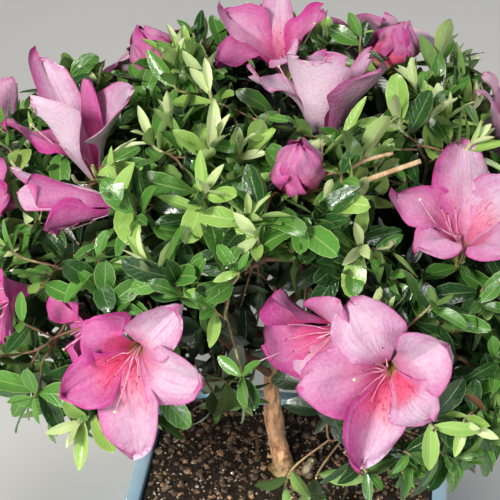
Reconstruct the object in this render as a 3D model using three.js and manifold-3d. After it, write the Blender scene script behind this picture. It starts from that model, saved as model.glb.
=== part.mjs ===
// Satsuki azalea bonsai in a rectangular glazed pot, in millimetres with +Z up.
// The origin is the centre of the flat underside of the pot, and +Y points away from the viewer.

import * as THREE from 'three';
import { mergeVertices } from 'three/addons/utils/BufferGeometryUtils.js';
import Module from 'manifold-3d';

const wasm = await Module();
wasm.setup();

// Pot and soil
const POT = { width: 180, depth: 134, height: 66, corner: 15, rim: 8.5, floor: 9 };
const POT_LIP = { height: 12, overhang: 3.2, rounding: 1.2 };
const POT_TAPER = 0.93;
const CAVITY_TAPER = 0.95;
const CORNER_SEGMENTS = 3;
const SOIL = { top: 62, relief: 1.1, flatRadius: 16, slope: 12, columns: 9, rows: 7 };
const SEAT_GAP = 0.3;

// Trunk: its foot stands on the soil, and it leans to the left as it rises
const TRUNK = { foot: [-5, 0], forkLean: -12, forkHeight: 126, tip: [-12, 20, 214], sides: 10, steps: 22 };
TRUNK.kneeHeight = 28;
TRUNK.upperBend = { lean: 2, back: 9, height: 44 };
const TRUNK_RADIUS = { foot: 5.5, tip: 2.4, flare: 2.4, flareHeight: 4.5, ribs: 0.35, ribCount: 4 };
const TRUNK_BULGE = { height: 98, spread: 9, size: 0.9 };
const STUB = { foot: [8.5, -2], lean: [4.5, 1.5], height: 10.5, radius: 2.7, taper: 0.25 };
STUB.sides = 9;
STUB.steps = 4;

// Crown: a flattened dome whose shoots end on or just under its surface
const CROWN = { centre: [-12, 22, 200], reach: [175, 155, 102], furthest: 1.12 };
const CROWN_WAVES = [[3, 0.035, 0.6], [5, 0.025, -1.1], [2, 0.02, 2.2]];
const SKIRT = { lowest: -21, frontRise: 36, frontAngle: -3, frontSpread: 15 };
const SHOOTS = { count: 172, seed: 11, turn: 137.508, jitter: 5, margin: 3 };
SHOOTS.deepest = 0.84;
SHOOTS.depthPower = 1.6;
const DOME_BANDS = 4000;
const HUB_SHARE = 0.47;
const MASS_SHARE = 0.74;
const CELL_MARGIN = 0.35;
const JOIN_TOLERANCE = 0.06;

// Masses of foliage: degrees around from the front, degrees up, and where the bough leaves the trunk
const MASSES = [
  { name: 'front_left', around: -36, up: -3, from: 130 },
  { name: 'front_right', around: 38, up: -3, from: 137 },
  { name: 'right', around: 88, up: -3, from: 151 },
  { name: 'back_right', around: 135, up: -3, from: 165 },
  { name: 'back', around: 180, up: -3, from: 158 },
  { name: 'back_left', around: -135, up: -3, from: 172 },
  { name: 'left', around: -88, up: -3, from: 144 },
  { name: 'upper_front', around: 0, up: 43, from: 181 },
  { name: 'upper_right', around: 90, up: 43, from: 188 },
  { name: 'upper_back', around: 180, up: 43, from: 202 },
  { name: 'upper_left', around: -90, up: 43, from: 195 },
  { name: 'crown_top', around: 0, up: 90, from: 214 },
];
const BOUGH = { footShare: 0.74, tipShare: 0.66, arch: 5, sides: 5, steps: 3 };

// Twigs and leaves
const TWIG = { radius: 0.95, growth: 0.42, rootShare: 0.45, forkShare: 0.42, wander: 2.5, stem: 13 };
TWIG.stemShare = 0.9;
TWIG.margin = 1.5;
TWIG.lift = 0.5;
const LEAF = { length: 39, width: 18.5, hub: 2.2, notch: 3, fold: 0.2, droop: 3.2 };
LEAF.outline = [[0.34, -0.78], [0.7, -0.88], [1, 0], [0.7, 0.88], [0.34, 0.78]];
const WHORL = { leaves: 5, openings: [50, 76], notch: 80, jitter: 12, shortest: 0.8 };
WHORL.shares = [1, 0.8, 0.62];

// Blooms: place on the dome and facing, both in degrees around and up, then size across and roll
const BLOOMS = [
  { place: [-17, 12], face: [-4, 4], size: 74, roll: 8 },
  { place: [21, 14], face: [2, 12], size: 78, roll: 40 },
  { place: [7, 32], face: [-56, 10], size: 56, roll: 0 },
  { place: [52, 44], face: [32, 70], size: 74, roll: 20 },
  { place: [-165, 66], face: [-60, 74], size: 68, roll: 30 },
  { place: [98, 78], face: [130, 76], size: 60, roll: 0 },
  { place: [-92, 46], face: [-78, 52], size: 70, roll: 50 },
  { place: [-70, 66], face: [-40, 66], size: 48, roll: 0 },
  { place: [-40, 46], face: [-88, 24], size: 54, roll: 10 },
  { place: [-66, 27], face: [-62, 16], size: 60, roll: 0 },
  { place: [-34, 23], face: [-58, 0], size: 46, roll: 25 },
  { place: [108, 45], face: [80, 40], size: 66, roll: 0 },
  { place: [86, 12], face: [92, 14], size: 72, roll: 15 },
  { place: [128, 20], face: [134, 20], size: 66, roll: 40 },
  { place: [164, 38], face: [160, 42], size: 74, roll: 0 },
  { place: [-170, 8], face: [-174, 10], size: 70, roll: 60 },
  { place: [-140, 38], face: [-142, 44], size: 68, roll: 20 },
  { place: [-112, 10], face: [-108, 12], size: 72, roll: 0 },
  { place: [13, 65], face: [30, 40], size: 33, roll: 0, bud: true },
  { place: [150, 60], face: [120, 70], size: 34, roll: 0, bud: true },
  { place: [-126, 64], face: [-100, 70], size: 32, roll: 0, bud: true },
];
const PETAL = { lobes: 5, aroundLobe: 3, wall: 1.2, stalk: 0.06, throatRise: 0.1 };
const OPEN_BLOOM = { lobe: [0.5, 0.42], notch: [0.26, 0.37], waist: [0.16, 0.27] };
const BUD = { lobe: [0.31, 0.88], notch: [0.16, 0.78], waist: [0.3, 0.27] };
const BLOOM_ROOM = 0.36;

const UP = new THREE.Vector3(0, 0, 1);
const centre = new THREE.Vector3(...CROWN.centre);
const reach = new THREE.Vector3(...CROWN.reach);

function material(color, roughness, metalness = 0) {
  return new THREE.MeshStandardMaterial({ color, roughness, metalness });
}

const GLAZE = material(0x9cc3dd, 0.28);
const EARTH = material(0x33251c, 0.95);
const BARK = material(0x9a6c46, 0.82);
const YOUNG_BARK = material(0x6d4030, 0.75);
const FOLIAGE = material(0x3f7a36, 0.5);

// Numbers between 0 and 1 from a seed, the same ones each time
function seededDraws(seed) {
  let state = seed >>> 0;
  return () => {
    state = (state + 0x6d2b79f5) >>> 0;
    let mixed = Math.imul(state ^ (state >>> 15), 1 | state);
    mixed = (mixed + Math.imul(mixed ^ (mixed >>> 7), 61 | mixed)) ^ mixed;
    return ((mixed ^ (mixed >>> 14)) >>> 0) / 4294967296;
  };
}

function solidOf(geometry) {
  geometry.deleteAttribute('normal');
  geometry.deleteAttribute('uv');
  const merged = mergeVertices(geometry, 1e-4);
  const vertProperties = merged.attributes.position.array;
  return new wasm.Manifold(new wasm.Mesh({ numProp: 3, vertProperties, triVerts: merged.index.array }));
}

function geometryOf(solid) {
  const mesh = solid.getMesh();
  const geometry = new THREE.BufferGeometry();
  geometry.setAttribute('position', new THREE.BufferAttribute(mesh.vertProperties, 3));
  geometry.setIndex(new THREE.BufferAttribute(mesh.triVerts, 1));
  return geometry;
}

function reshape(geometry, move) {
  const position = geometry.attributes.position;
  const point = new THREE.Vector3();
  for (let i = 0; i < position.count; i += 1) {
    point.fromBufferAttribute(position, i);
    const moved = move(point);
    position.setXYZ(i, moved.x, moved.y, moved.z);
  }
  return geometry;
}

function direction(around, up) {
  const turn = THREE.MathUtils.degToRad(around);
  const rise = THREE.MathUtils.degToRad(up);
  return new THREE.Vector3(
    Math.sin(turn) * Math.cos(rise), -Math.cos(turn) * Math.cos(rise), Math.sin(rise));
}

function sideOf(axis) {
  const helper = Math.abs(axis.z) > 0.9 ? new THREE.Vector3(1, 0, 0) : UP;
  return helper.clone().cross(axis).normalize();
}

function roundedOutline(width, depth, corner) {
  const [x, y] = [width / 2, depth / 2];
  const outline = new THREE.Shape();
  outline.moveTo(-x + corner, -y);
  outline.lineTo(x - corner, -y);
  outline.absarc(x - corner, -y + corner, corner, -Math.PI / 2, 0);
  outline.absarc(x - corner, y - corner, corner, 0, Math.PI / 2);
  outline.absarc(-x + corner, y - corner, corner, Math.PI / 2, Math.PI);
  outline.absarc(-x + corner, -y + corner, corner, Math.PI, 1.5 * Math.PI);
  return outline;
}

// An upright block with rounded corners that narrows to a share of its outline at its foot
function taperedBlock(width, depth, corner, bottom, top, footShare) {
  const outline = roundedOutline(width, depth, corner);
  const depthAlong = { depth: top - bottom, bevelEnabled: false, curveSegments: CORNER_SEGMENTS };
  const block = new THREE.ExtrudeGeometry(outline, depthAlong);
  return reshape(block, ({ x, y, z }) => {
    const share = THREE.MathUtils.lerp(footShare, 1, z / (top - bottom));
    return { x: x * share, y: y * share, z: z + bottom };
  });
}

function cavityBlock(inset, bottom, top) {
  const side = 2 * (POT.rim + inset);
  const corner = POT.corner - POT.rim;
  const level = (top - bottom) / (POT.height - POT.floor);
  const footShare = 1 - (1 - CAVITY_TAPER) * level;
  return solidOf(taperedBlock(POT.width - side, POT.depth - side, corner, bottom, top, footShare));
}

function makePot() {
  const { rounding, overhang } = POT_LIP;
  const [width, depth] = [POT.width - 2 * overhang, POT.depth - 2 * overhang];
  const underLip = POT.height - POT_LIP.height / 2;
  const wall = solidOf(taperedBlock(width, depth, POT.corner - overhang, 0, underLip, POT_TAPER));
  const outline = roundedOutline(POT.width - 2 * rounding, POT.depth - 2 * rounding, POT.corner - rounding);
  const lip = new THREE.ExtrudeGeometry(outline, {
    depth: POT_LIP.height - 2 * rounding,
    bevelThickness: rounding,
    bevelSize: rounding,
    bevelSegments: 1,
    curveSegments: CORNER_SEGMENTS,
  });
  lip.translate(0, 0, POT.height - POT_LIP.height + rounding);
  return wall.add(solidOf(lip)).subtract(cavityBlock(0, POT.floor, POT.height + 1));
}

// Low waves on the soil, level near the trunk's foot
function soilRelief(x, y) {
  const [footX, footY] = TRUNK.foot;
  const away = Math.hypot(x - footX, y - footY) - SOIL.flatRadius;
  const waves = Math.sin(x / 13) * Math.cos(y / 11) + 0.6 * Math.sin(x / 6 + y / 8);
  return away > 0 ? -SOIL.relief * Math.min(1, away / SOIL.slope) * (0.5 + 0.3 * waves) : 0;
}

function makeSoil() {
  const depth = SOIL.top - POT.floor - SEAT_GAP;
  const bed = new THREE.BoxGeometry(POT.width, POT.depth, depth, SOIL.columns, SOIL.rows, 1);
  reshape(bed, ({ x, y, z }) => {
    const relief = z > 0 ? soilRelief(x, y) : 0;
    return { x, y, z: z + SOIL.top - depth / 2 + relief };
  });
  return solidOf(bed).intersect(cavityBlock(SEAT_GAP, POT.floor + SEAT_GAP, POT.height));
}

// A round limb of the given radius along a curve, square to the curve at both ends
function limbGeometry(curve, radiusAt, sides, steps) {
  const frames = curve.computeFrenetFrames(steps, false);
  return reshape(new THREE.CylinderGeometry(1, 1, 1, sides, steps), ({ x, y, z }) => {
    const along = y + 0.5;
    const step = Math.round(along * steps);
    const radius = radiusAt(along, Math.atan2(z, x));
    return curve.getPointAt(along)
      .addScaledVector(frames.normals[step], x * radius)
      .addScaledVector(frames.binormals[step], -z * radius);
  });
}

function trunkCurve() {
  const [x, y] = TRUNK.foot;
  const foot = SOIL.top + SEAT_GAP;
  const { forkLean: lean, upperBend: bend } = TRUNK;
  return new THREE.CatmullRomCurve3([
    new THREE.Vector3(x, y, foot),
    new THREE.Vector3(x, y, foot + 5),
    new THREE.Vector3(x + (lean - x) * 0.6, y + 0.5, foot + TRUNK.kneeHeight),
    new THREE.Vector3(lean, y + 1, TRUNK.forkHeight),
    new THREE.Vector3(lean + bend.lean, y + bend.back, TRUNK.forkHeight + bend.height),
    new THREE.Vector3(...TRUNK.tip),
  ]);
}

function trunkRadius(height, turn) {
  const above = height - SOIL.top;
  const { foot, tip, flare, flareHeight, ribs, ribCount } = TRUNK_RADIUS;
  const taper = THREE.MathUtils.lerp(foot, tip, above / (TRUNK.tip[2] - SOIL.top));
  const spread = flare * Math.exp(-above / flareHeight);
  const bulge = TRUNK_BULGE.size * Math.exp(-(((height - TRUNK_BULGE.height) / TRUNK_BULGE.spread) ** 2));
  return taper + bulge + spread * (1 + ribs * Math.cos(ribCount * turn + 0.5));
}

function trunkGeometry(margin) {
  const curve = trunkCurve();
  const foot = SOIL.top + SEAT_GAP;
  const radiusAt = (along, turn) => margin + trunkRadius(curve.getPointAt(along).z, turn);
  const shape = limbGeometry(curve, radiusAt, TRUNK.sides, TRUNK.steps);
  return reshape(shape, ({ x, y, z }) => ({ x, y, z: Math.max(z, foot) }));
}

function trunkPointAt(height) {
  const points = trunkCurve().getSpacedPoints(300);
  return points.find((point) => point.z >= height - 1e-6) ?? points.at(-1);
}

function makeStub() {
  const foot = new THREE.Vector3(...STUB.foot, SOIL.top + SEAT_GAP);
  const knee = foot.clone().addScaledVector(UP, STUB.height * 0.4);
  const tip = foot.clone().add(new THREE.Vector3(...STUB.lean, STUB.height));
  const curve = new THREE.QuadraticBezierCurve3(foot, knee, tip);
  const radiusAt = (along) => STUB.radius * (1 - STUB.taper * along);
  const shape = limbGeometry(curve, radiusAt, STUB.sides, STUB.steps);
  return solidOf(shape).subtract(solidOf(trunkGeometry(SEAT_GAP)));
}

// How far the crown reaches in a direction, as a share of the plain dome
function crownWave(around) {
  const turn = THREE.MathUtils.degToRad(around);
  return CROWN_WAVES.reduce((sum, [count, size, start]) => sum + size * Math.sin(count * turn + start), 1);
}

function crownPoint(around, up, share) {
  const outward = direction(around, up);
  const wave = THREE.MathUtils.lerp(crownWave(around), 1, Math.max(0, outward.z));
  return centre.clone().add(outward.multiply(reach).multiplyScalar(share * wave));
}

function crownShare(point) {
  return point.clone().sub(centre).divide(reach).length();
}

function skirtAngle(around) {
  const off = (around - SKIRT.frontAngle) / SKIRT.frontSpread;
  return SKIRT.lowest + SKIRT.frontRise * Math.exp(-off * off);
}

// Shoot tips at an even spacing over the dome: a spiral that steps on once enough area has passed
function shootTips(count) {
  const draw = seededDraws(SHOOTS.seed);
  const lowest = Math.sin(THREE.MathUtils.degToRad(SKIRT.lowest));
  const width = (reach.x + reach.y) / 2;
  const areaAt = (rise) => Math.hypot(rise / reach.z, Math.sqrt(1 - rise * rise) / width);
  const riseAt = (band) => 1 - ((band + 0.5) / DOME_BANDS) * (1 - lowest);
  let whole = 0;
  for (let band = 0; band < DOME_BANDS; band += 1) {
    whole += areaAt(riseAt(band));
  }
  const tips = [];
  let passed = 0;
  for (let band = 0; band < DOME_BANDS; band += 1) {
    passed += areaAt(riseAt(band));
    if (passed < ((tips.length + 0.5) * whole) / count) continue;
    const around = ((tips.length * SHOOTS.turn) % 360) - 180 + (2 * draw() - 1) * SHOOTS.jitter;
    const up = THREE.MathUtils.radToDeg(Math.asin(riseAt(band))) + (2 * draw() - 1) * SHOOTS.jitter;
    const share = THREE.MathUtils.lerp(1, SHOOTS.deepest, draw() ** SHOOTS.depthPower);
    tips.push({ around, up, share });
  }
  return tips.filter((tip) => tip.up > skirtAngle(tip.around));
}

const massCentres = MASSES.map((mass) => crownPoint(mass.around, mass.up, MASS_SHARE));

// Clearance of a point from the planes midway between its mass and each other mass
function cellClearance(point, index) {
  const own = massCentres[index];
  return massCentres.reduce((least, other, k) => {
    if (k === index) return least;
    const apart = point.distanceToSquared(other) - point.distanceToSquared(own);
    return Math.min(least, apart / (2 * own.distanceTo(other)));
  }, Infinity);
}

function nearestMass(point) {
  const distances = massCentres.map((other) => point.distanceTo(other));
  return distances.indexOf(Math.min(...distances));
}

function boughCurve(mass) {
  const start = trunkPointAt(mass.from);
  const end = crownPoint(mass.around, mass.up, HUB_SHARE);
  const arch = start.clone().lerp(end, 0.5).addScaledVector(UP, BOUGH.arch);
  return new THREE.QuadraticBezierCurve3(start, arch, end);
}

// A bough's radius at its foot, in proportion to the trunk there
function boughRadius(mass) {
  return trunkRadius(mass.from, 0) * BOUGH.footShare;
}

function makeBough(mass) {
  const foot = boughRadius(mass);
  const radiusAt = (along) => THREE.MathUtils.lerp(foot, foot * BOUGH.tipShare, along);
  const limb = solidOf(limbGeometry(boughCurve(mass), radiusAt, BOUGH.sides, BOUGH.steps));
  return largestBody(limb.subtract(solidOf(trunkGeometry(SEAT_GAP))));
}

// A five-lobed funnel as a thin closed shell, with its root at the origin and facing along +Y.
// Each ring of its form is a radius and a rise, as shares of the bloom's size
function bloomShape(size, form) {
  const count = PETAL.lobes * PETAL.aroundLobe;
  const shell = new THREE.SphereGeometry(1, count, 4);
  return reshape(shell, ({ x, y, z }) => {
    const turn = Math.atan2(z, x);
    const onLobe = Math.abs(Math.sin((turn * PETAL.lobes) / 2)) > 0.5;
    const inner = y > 0.1 ? 1 : 0;
    let [radius, rise] = [0, inner * PETAL.throatRise * size];
    if (Math.abs(y) < 0.9) {
      [radius, rise] = form.waist.map((share) => share * size);
      radius -= inner * PETAL.wall;
      rise += inner * PETAL.wall;
    }
    if (Math.abs(y) < 0.1) {
      [radius, rise] = (onLobe ? form.lobe : form.notch).map((share) => share * size);
    }
    return { x: radius * Math.cos(turn), y: rise, z: radius * Math.sin(turn) };
  });
}

function placeAlong(geometry, axis, roll, root) {
  const across = sideOf(axis).applyAxisAngle(axis, THREE.MathUtils.degToRad(roll));
  const basis = new THREE.Matrix4().makeBasis(across, axis, across.clone().cross(axis));
  return geometry.applyMatrix4(basis.setPosition(root));
}

function makeBloom({ place, face, size, roll, bud }) {
  const axis = direction(...face);
  const middle = crownPoint(...place, 1);
  const root = middle.clone().addScaledVector(axis, -size * OPEN_BLOOM.lobe[1]);
  const solid = solidOf(placeAlong(bloomShape(size, bud ? BUD : OPEN_BLOOM), axis, roll, root));
  return { solid, root, middle, axis, size, mass: nearestMass(root) };
}

// A three-sided twig through a row of points, each with its own radius
function twigSolid(stops) {
  const rings = stops.map(({ point, radius }, i) => {
    const before = stops[Math.max(0, i - 1)].point;
    const after = stops[Math.min(stops.length - 1, i + 1)].point;
    return { point, radius, axis: after.clone().sub(before).normalize() };
  });
  let across = sideOf(rings[0].axis);
  for (const ring of rings) {
    across = across.clone().addScaledVector(ring.axis, -across.dot(ring.axis)).normalize();
    ring.across = across;
    ring.beside = across.clone().cross(ring.axis);
  }
  const steps = stops.length - 1;
  const rod = new THREE.CylinderGeometry(1, 1, 1, 3, steps);
  return solidOf(reshape(rod, ({ x, y, z }) => {
    const ring = rings[Math.round((y + 0.5) * steps)];
    return ring.point.clone()
      .addScaledVector(ring.across, x * ring.radius)
      .addScaledVector(ring.beside, z * ring.radius);
  }));
}

// One leaf of a whorl: its turn about the shoot, its opening from the shoot's line, and its length
function leafFrame(axis, { turn, opening }) {
  const outward = sideOf(axis).applyAxisAngle(axis, THREE.MathUtils.degToRad(turn));
  const lean = THREE.MathUtils.degToRad(opening);
  const along = axis.clone().multiplyScalar(Math.cos(lean)).addScaledVector(outward, Math.sin(lean));
  const above = axis.clone().addScaledVector(along, -axis.dot(along)).normalize();
  return { along, above, across: above.clone().cross(along) };
}

function leafPoint(frame, length, [share, width]) {
  const aside = (width * LEAF.width * length) / LEAF.length / 2;
  const lift = LEAF.fold * Math.abs(aside) - LEAF.droop * share * share;
  return frame.along.clone().multiplyScalar(share * length)
    .addScaledVector(frame.above, lift)
    .addScaledVector(frame.across, aside);
}

// A whorl of leaves as one closed shell whose edge runs out and back round each leaf in turn
function whorlSolid(hub, axis, leaves) {
  const outline = leaves.flatMap((leaf, k) => {
    const frame = leafFrame(axis, leaf);
    const next = leaves[(k + 1) % leaves.length];
    const gap = leaves.length > 1 ? (next.turn - leaf.turn + 360) % 360 : 360;
    const notch = leafFrame(axis, { turn: leaf.turn + gap / 2, opening: WHORL.notch }).along;
    const edge = LEAF.outline.map((point) => leafPoint(frame, leaf.length, point));
    return [...edge, notch.multiplyScalar(LEAF.notch)].map((point) => point.add(hub));
  });
  const shell = new THREE.SphereGeometry(1, outline.length, 2);
  return solidOf(reshape(shell, ({ x, y, z }) => {
    if (Math.abs(y) > 0.5) return hub.clone().addScaledVector(axis, (y * LEAF.hub) / 2);
    const step = Math.round((Math.atan2(z, -x) / (2 * Math.PI)) * outline.length);
    return outline[(step + outline.length) % outline.length];
  }));
}

function isClear(solid, others) {
  const { min, max } = solid.boundingBox();
  return others.every((other) => {
    const box = other.boundingBox();
    const apart = [0, 1, 2].some((k) => (
      box.min[k] > max[k] + SEAT_GAP || box.max[k] < min[k] - SEAT_GAP));
    return apart || solid.minGap(other, SEAT_GAP) >= SEAT_GAP - 0.01;
  });
}

// Halves a group of tips across the line between two of its furthest tips
function splitTips(tips) {
  const middle = new THREE.Vector3();
  tips.forEach((tip) => middle.addScaledVector(tip.place, 1 / tips.length));
  const furthest = (from) => tips.reduce(
    (best, tip) => (tip.place.distanceTo(from) > best.distanceTo(from) ? tip.place : best), tips[0].place);
  const first = furthest(middle);
  const line = furthest(first).clone().sub(first);
  const sorted = [...tips].sort((a, b) => a.place.dot(line) - b.place.dot(line));
  const half = Math.ceil(tips.length / 2);
  return { middle, halves: [sorted.slice(0, half), sorted.slice(half)] };
}

// Twigs fork in two: the first half of the tips keeps the twig, and the other half starts a new one
function growTwigs(path, tips, draw, twigs) {
  if (tips.length === 1) {
    twigs.push({ stops: [...path, { point: tips[0].place, radius: TWIG.radius }], tip: tips[0] });
    return;
  }
  const { middle, halves } = splitTips(tips);
  const fork = path.at(-1).point.clone().lerp(middle, TWIG.forkShare);
  fork.add(new THREE.Vector3(2 * draw() - 1, 2 * draw() - 1, 2 * draw() - 1).multiplyScalar(TWIG.wander));
  const [kept, other] = halves;
  const thick = (count) => TWIG.radius * count ** TWIG.growth;
  growTwigs([...path, { point: fork, radius: thick(kept.length) }], kept, draw, twigs);
  growTwigs([{ point: fork, radius: thick(other.length) * TWIG.rootShare }], other, draw, twigs);
}

function massTips(index, blooms) {
  const own = shootTips(SHOOTS.count)
    .map((tip) => ({ ...tip, place: crownPoint(tip.around, tip.up, tip.share) }))
    .filter((tip) => nearestMass(tip.place) === index && cellClearance(tip.place, index) > SHOOTS.margin)
    .filter((tip) => blooms.every((bloom) => tip.place.distanceTo(bloom.middle) > bloom.size * BLOOM_ROOM));
  const flowering = blooms.filter((bloom) => bloom.mass === index);
  const stalk = (bloom) => bloom.root.clone().addScaledVector(bloom.axis, bloom.size * PETAL.stalk);
  return [...own, ...flowering.map((bloom) => ({ place: stalk(bloom), bloom }))];
}

function stemOf(mass) {
  const onTrunk = mass.name === 'crown_top';
  const curve = onTrunk ? trunkCurve() : boughCurve(mass);
  const radius = onTrunk ? TRUNK_RADIUS.tip * TWIG.stemShare : boughRadius(mass) * BOUGH.tipShare;
  return { foot: curve.getPointAt(1), axis: curve.getTangentAt(1), radius };
}

function shootAxis(tip, before) {
  const outward = tip.clone().sub(centre).divide(reach).divide(reach).normalize();
  const along = tip.clone().sub(before).normalize();
  return outward.add(along).addScaledVector(UP, TWIG.lift).normalize();
}

// The whorl at the end of a shoot, with the leaves that have room
function makeWhorl(stops, index, draw, barriers) {
  const [before, tip] = stops.slice(-2).map((stop) => stop.point);
  const axis = shootAxis(tip, before);
  const start = draw() * 360;
  const whorl = Array.from({ length: WHORL.leaves }, (_, k) => ({
    turn: start + (k * 360) / WHORL.leaves,
    opening: WHORL.openings[k % 2] + (draw() - 0.5) * WHORL.jitter,
    length: LEAF.length * THREE.MathUtils.lerp(WHORL.shortest, 1, draw()),
  }));
  const hasRoom = (leaf) => {
    const frame = leafFrame(axis, leaf);
    const inside = LEAF.outline.map((point) => leafPoint(frame, leaf.length, point).add(tip))
      .every((point) => cellClearance(point, index) > CELL_MARGIN && crownShare(point) < CROWN.furthest);
    return inside && isClear(whorlSolid(tip, axis, [leaf]), barriers);
  };
  const leaves = whorl.map((leaf) => (
    WHORL.shares.map((share) => ({ ...leaf, length: leaf.length * share })).find(hasRoom)
  )).filter(Boolean);
  return leaves.length > 0 ? [whorlSolid(tip, axis, leaves)] : [];
}

// The part of a twig that stays in its mass's space and clear of the limbs and blooms
function clearTwig(stops, index, barriers) {
  for (let count = stops.length; count > 1; count -= 1) {
    const kept = stops.slice(0, count);
    const inside = kept.every(({ point }) => cellClearance(point, index) > TWIG.margin);
    const solid = twigSolid(kept);
    if (inside && isClear(solid, barriers)) return { kept, solid };
  }
  return { kept: [] };
}

// One mass: a stem, forking twigs, rosettes of leaves at their tips, and its blooms
function makeMass(mass, index, limbs, blooms) {
  const draw = seededDraws(100 + index);
  const { foot, axis, radius } = stemOf(mass);
  const start = { point: foot.clone().addScaledVector(axis, SEAT_GAP), radius };
  const hub = { point: foot.clone().addScaledVector(axis, TWIG.stem), radius: radius * TWIG.stemShare };
  const twigs = [];
  growTwigs([start, hub], massTips(index, blooms), draw, twigs);
  const solids = [];
  const leaves = [];
  const reached = new Set([start.point]);
  for (const { stops, tip } of twigs) {
    if (!reached.has(stops[0].point)) continue;
    const others = blooms.filter((bloom) => bloom !== tip.bloom).map((bloom) => bloom.solid);
    const barriers = [...limbs, ...others];
    const { kept, solid } = clearTwig(stops, index, barriers);
    if (!solid) continue;
    kept.slice(1).forEach((stop) => reached.add(stop.point));
    solids.push(solid);
    if (kept.length < stops.length) continue;
    if (tip.bloom) solids.push(tip.bloom.solid);
    else leaves.push(...makeWhorl(kept, index, draw, [...barriers, ...leaves]));
  }
  return joinSolids([...solids, ...leaves]);
}

function joinSolids(solids) {
  const joined = solids.reduce((whole, solid) => whole.add(solid));
  return largestBody(joined.simplify(JOIN_TOLERANCE));
}

function largestBody(solid) {
  return solid.decompose().sort((a, b) => b.volume() - a.volume())[0];
}

function addPart(group, name, solid, look) {
  const mesh = new THREE.Mesh(geometryOf(solid), look.clone());
  mesh.name = name;
  group.add(mesh);
}

function buildBonsai() {
  const group = new THREE.Group();
  const planter = new THREE.Group();
  const tree = new THREE.Group();
  group.add(planter, tree);
  const trunk = solidOf(trunkGeometry(0));
  const boughs = MASSES.filter((mass) => mass.name !== 'crown_top')
    .map((mass) => ({ mass, solid: makeBough(mass) }));
  const blooms = BLOOMS.map(makeBloom);
  addPart(planter, 'pot', makePot(), GLAZE);
  addPart(planter, 'soil', makeSoil(), EARTH);
  addPart(tree, 'trunk', trunk, BARK);
  addPart(tree, 'stub', makeStub(), BARK);
  for (const { mass, solid } of boughs) {
    addPart(tree, `bough_${mass.name}`, solid, YOUNG_BARK);
  }
  const limbs = [trunk, ...boughs.map((bough) => bough.solid)];
  MASSES.forEach((mass, index) => {
    addPart(tree, `foliage_${mass.name}`, makeMass(mass, index, limbs, blooms), FOLIAGE);
  });
  return group;
}

export default buildBonsai();
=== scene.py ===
# %% [markdown]
# A satsuki azalea bonsai in its pot: one slim leaning trunk, an open dome of whorled leaves, and
# large lilac funnel blooms over a sky-blue glazed pot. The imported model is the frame. Each CAD node
# is replaced by a finer piece in the same place, and everything rides on the one body.

# %% Load the frame
import math
import random

import bmesh
import bpy
import numpy as np
from mathutils import Matrix, Vector, noise


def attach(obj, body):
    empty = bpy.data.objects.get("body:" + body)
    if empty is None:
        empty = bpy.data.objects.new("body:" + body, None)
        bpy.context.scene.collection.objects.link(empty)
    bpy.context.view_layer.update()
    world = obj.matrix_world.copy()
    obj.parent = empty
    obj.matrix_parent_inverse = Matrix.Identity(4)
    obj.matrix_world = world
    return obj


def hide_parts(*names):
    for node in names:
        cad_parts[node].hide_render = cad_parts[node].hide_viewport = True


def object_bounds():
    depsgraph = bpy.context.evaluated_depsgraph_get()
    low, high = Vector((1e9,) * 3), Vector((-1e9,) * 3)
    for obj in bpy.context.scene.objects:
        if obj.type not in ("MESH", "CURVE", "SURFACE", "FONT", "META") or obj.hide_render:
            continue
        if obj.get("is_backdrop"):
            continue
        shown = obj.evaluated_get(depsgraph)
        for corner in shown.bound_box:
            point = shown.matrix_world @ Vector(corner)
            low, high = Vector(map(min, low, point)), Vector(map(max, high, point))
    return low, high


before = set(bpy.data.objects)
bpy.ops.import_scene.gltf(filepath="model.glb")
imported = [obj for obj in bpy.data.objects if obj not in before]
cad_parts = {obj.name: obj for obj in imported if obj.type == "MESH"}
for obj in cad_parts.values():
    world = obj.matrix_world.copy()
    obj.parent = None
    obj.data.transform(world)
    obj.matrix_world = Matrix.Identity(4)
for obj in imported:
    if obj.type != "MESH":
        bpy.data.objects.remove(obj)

cad_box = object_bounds()
MM = 0.001
UP = Vector((0, 0, 1))
NOISE_SEED = 3

# Vector noise starts from the clock unless it has a seed, and every run should give the same plant.
noise.seed_set(NOISE_SEED)


def named_rows(fields, rows):
    """Each row's values under the names of its fields; a dict at a row's end adds values to it."""
    names = fields.split()
    return [{**dict(zip(names, row)), **(row[-1] if len(row) > len(names) else {})} for row in rows]


print("nodes", len(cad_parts), "box", [round(float(v), 3) for corner in cad_box for v in corner])

# %% [markdown]
# The camera looks down on the plant from the front, a little to its right, as it was photographed:
# 34 degrees above the horizon, with a long lens. A lens in millimetres is the focal length in
# pixels times the sensor's width over the picture's width.

# %% Camera
PICTURE = 500
FOCAL_PIXELS = 1741.7
CAMERA_AROUND = 7.4
CAMERA_UP = 34
CAMERA_PLACE = Vector((0.0746, -0.7585, 0.7288))
SENSOR_WIDTH = 36
NEAREST_SEEN = 0.05


def direction(around, up):
    """The unit vector at degrees around from the front, towards the right, and degrees up."""
    turn, rise = math.radians(around), math.radians(up)
    return Vector((math.sin(turn) * math.cos(rise), -math.cos(turn) * math.cos(rise), math.sin(rise)))


def place_camera():
    data = bpy.data.cameras.new("camera")
    data.sensor_width = SENSOR_WIDTH
    data.lens = FOCAL_PIXELS / PICTURE * data.sensor_width
    data.clip_start = NEAREST_SEEN
    camera = bpy.data.objects.new("camera", data)
    back = direction(CAMERA_AROUND, CAMERA_UP)
    right = Vector((math.cos(math.radians(CAMERA_AROUND)), math.sin(math.radians(CAMERA_AROUND)), 0))
    turned = Matrix((right, back.cross(right), back)).transposed().to_4x4()
    camera.matrix_world = Matrix.Translation(CAMERA_PLACE) @ turned
    bpy.context.collection.objects.link(camera)
    bpy.context.scene.camera = camera
    return camera


camera = place_camera()
print("lens", round(camera.data.lens, 1), "mm")

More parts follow.
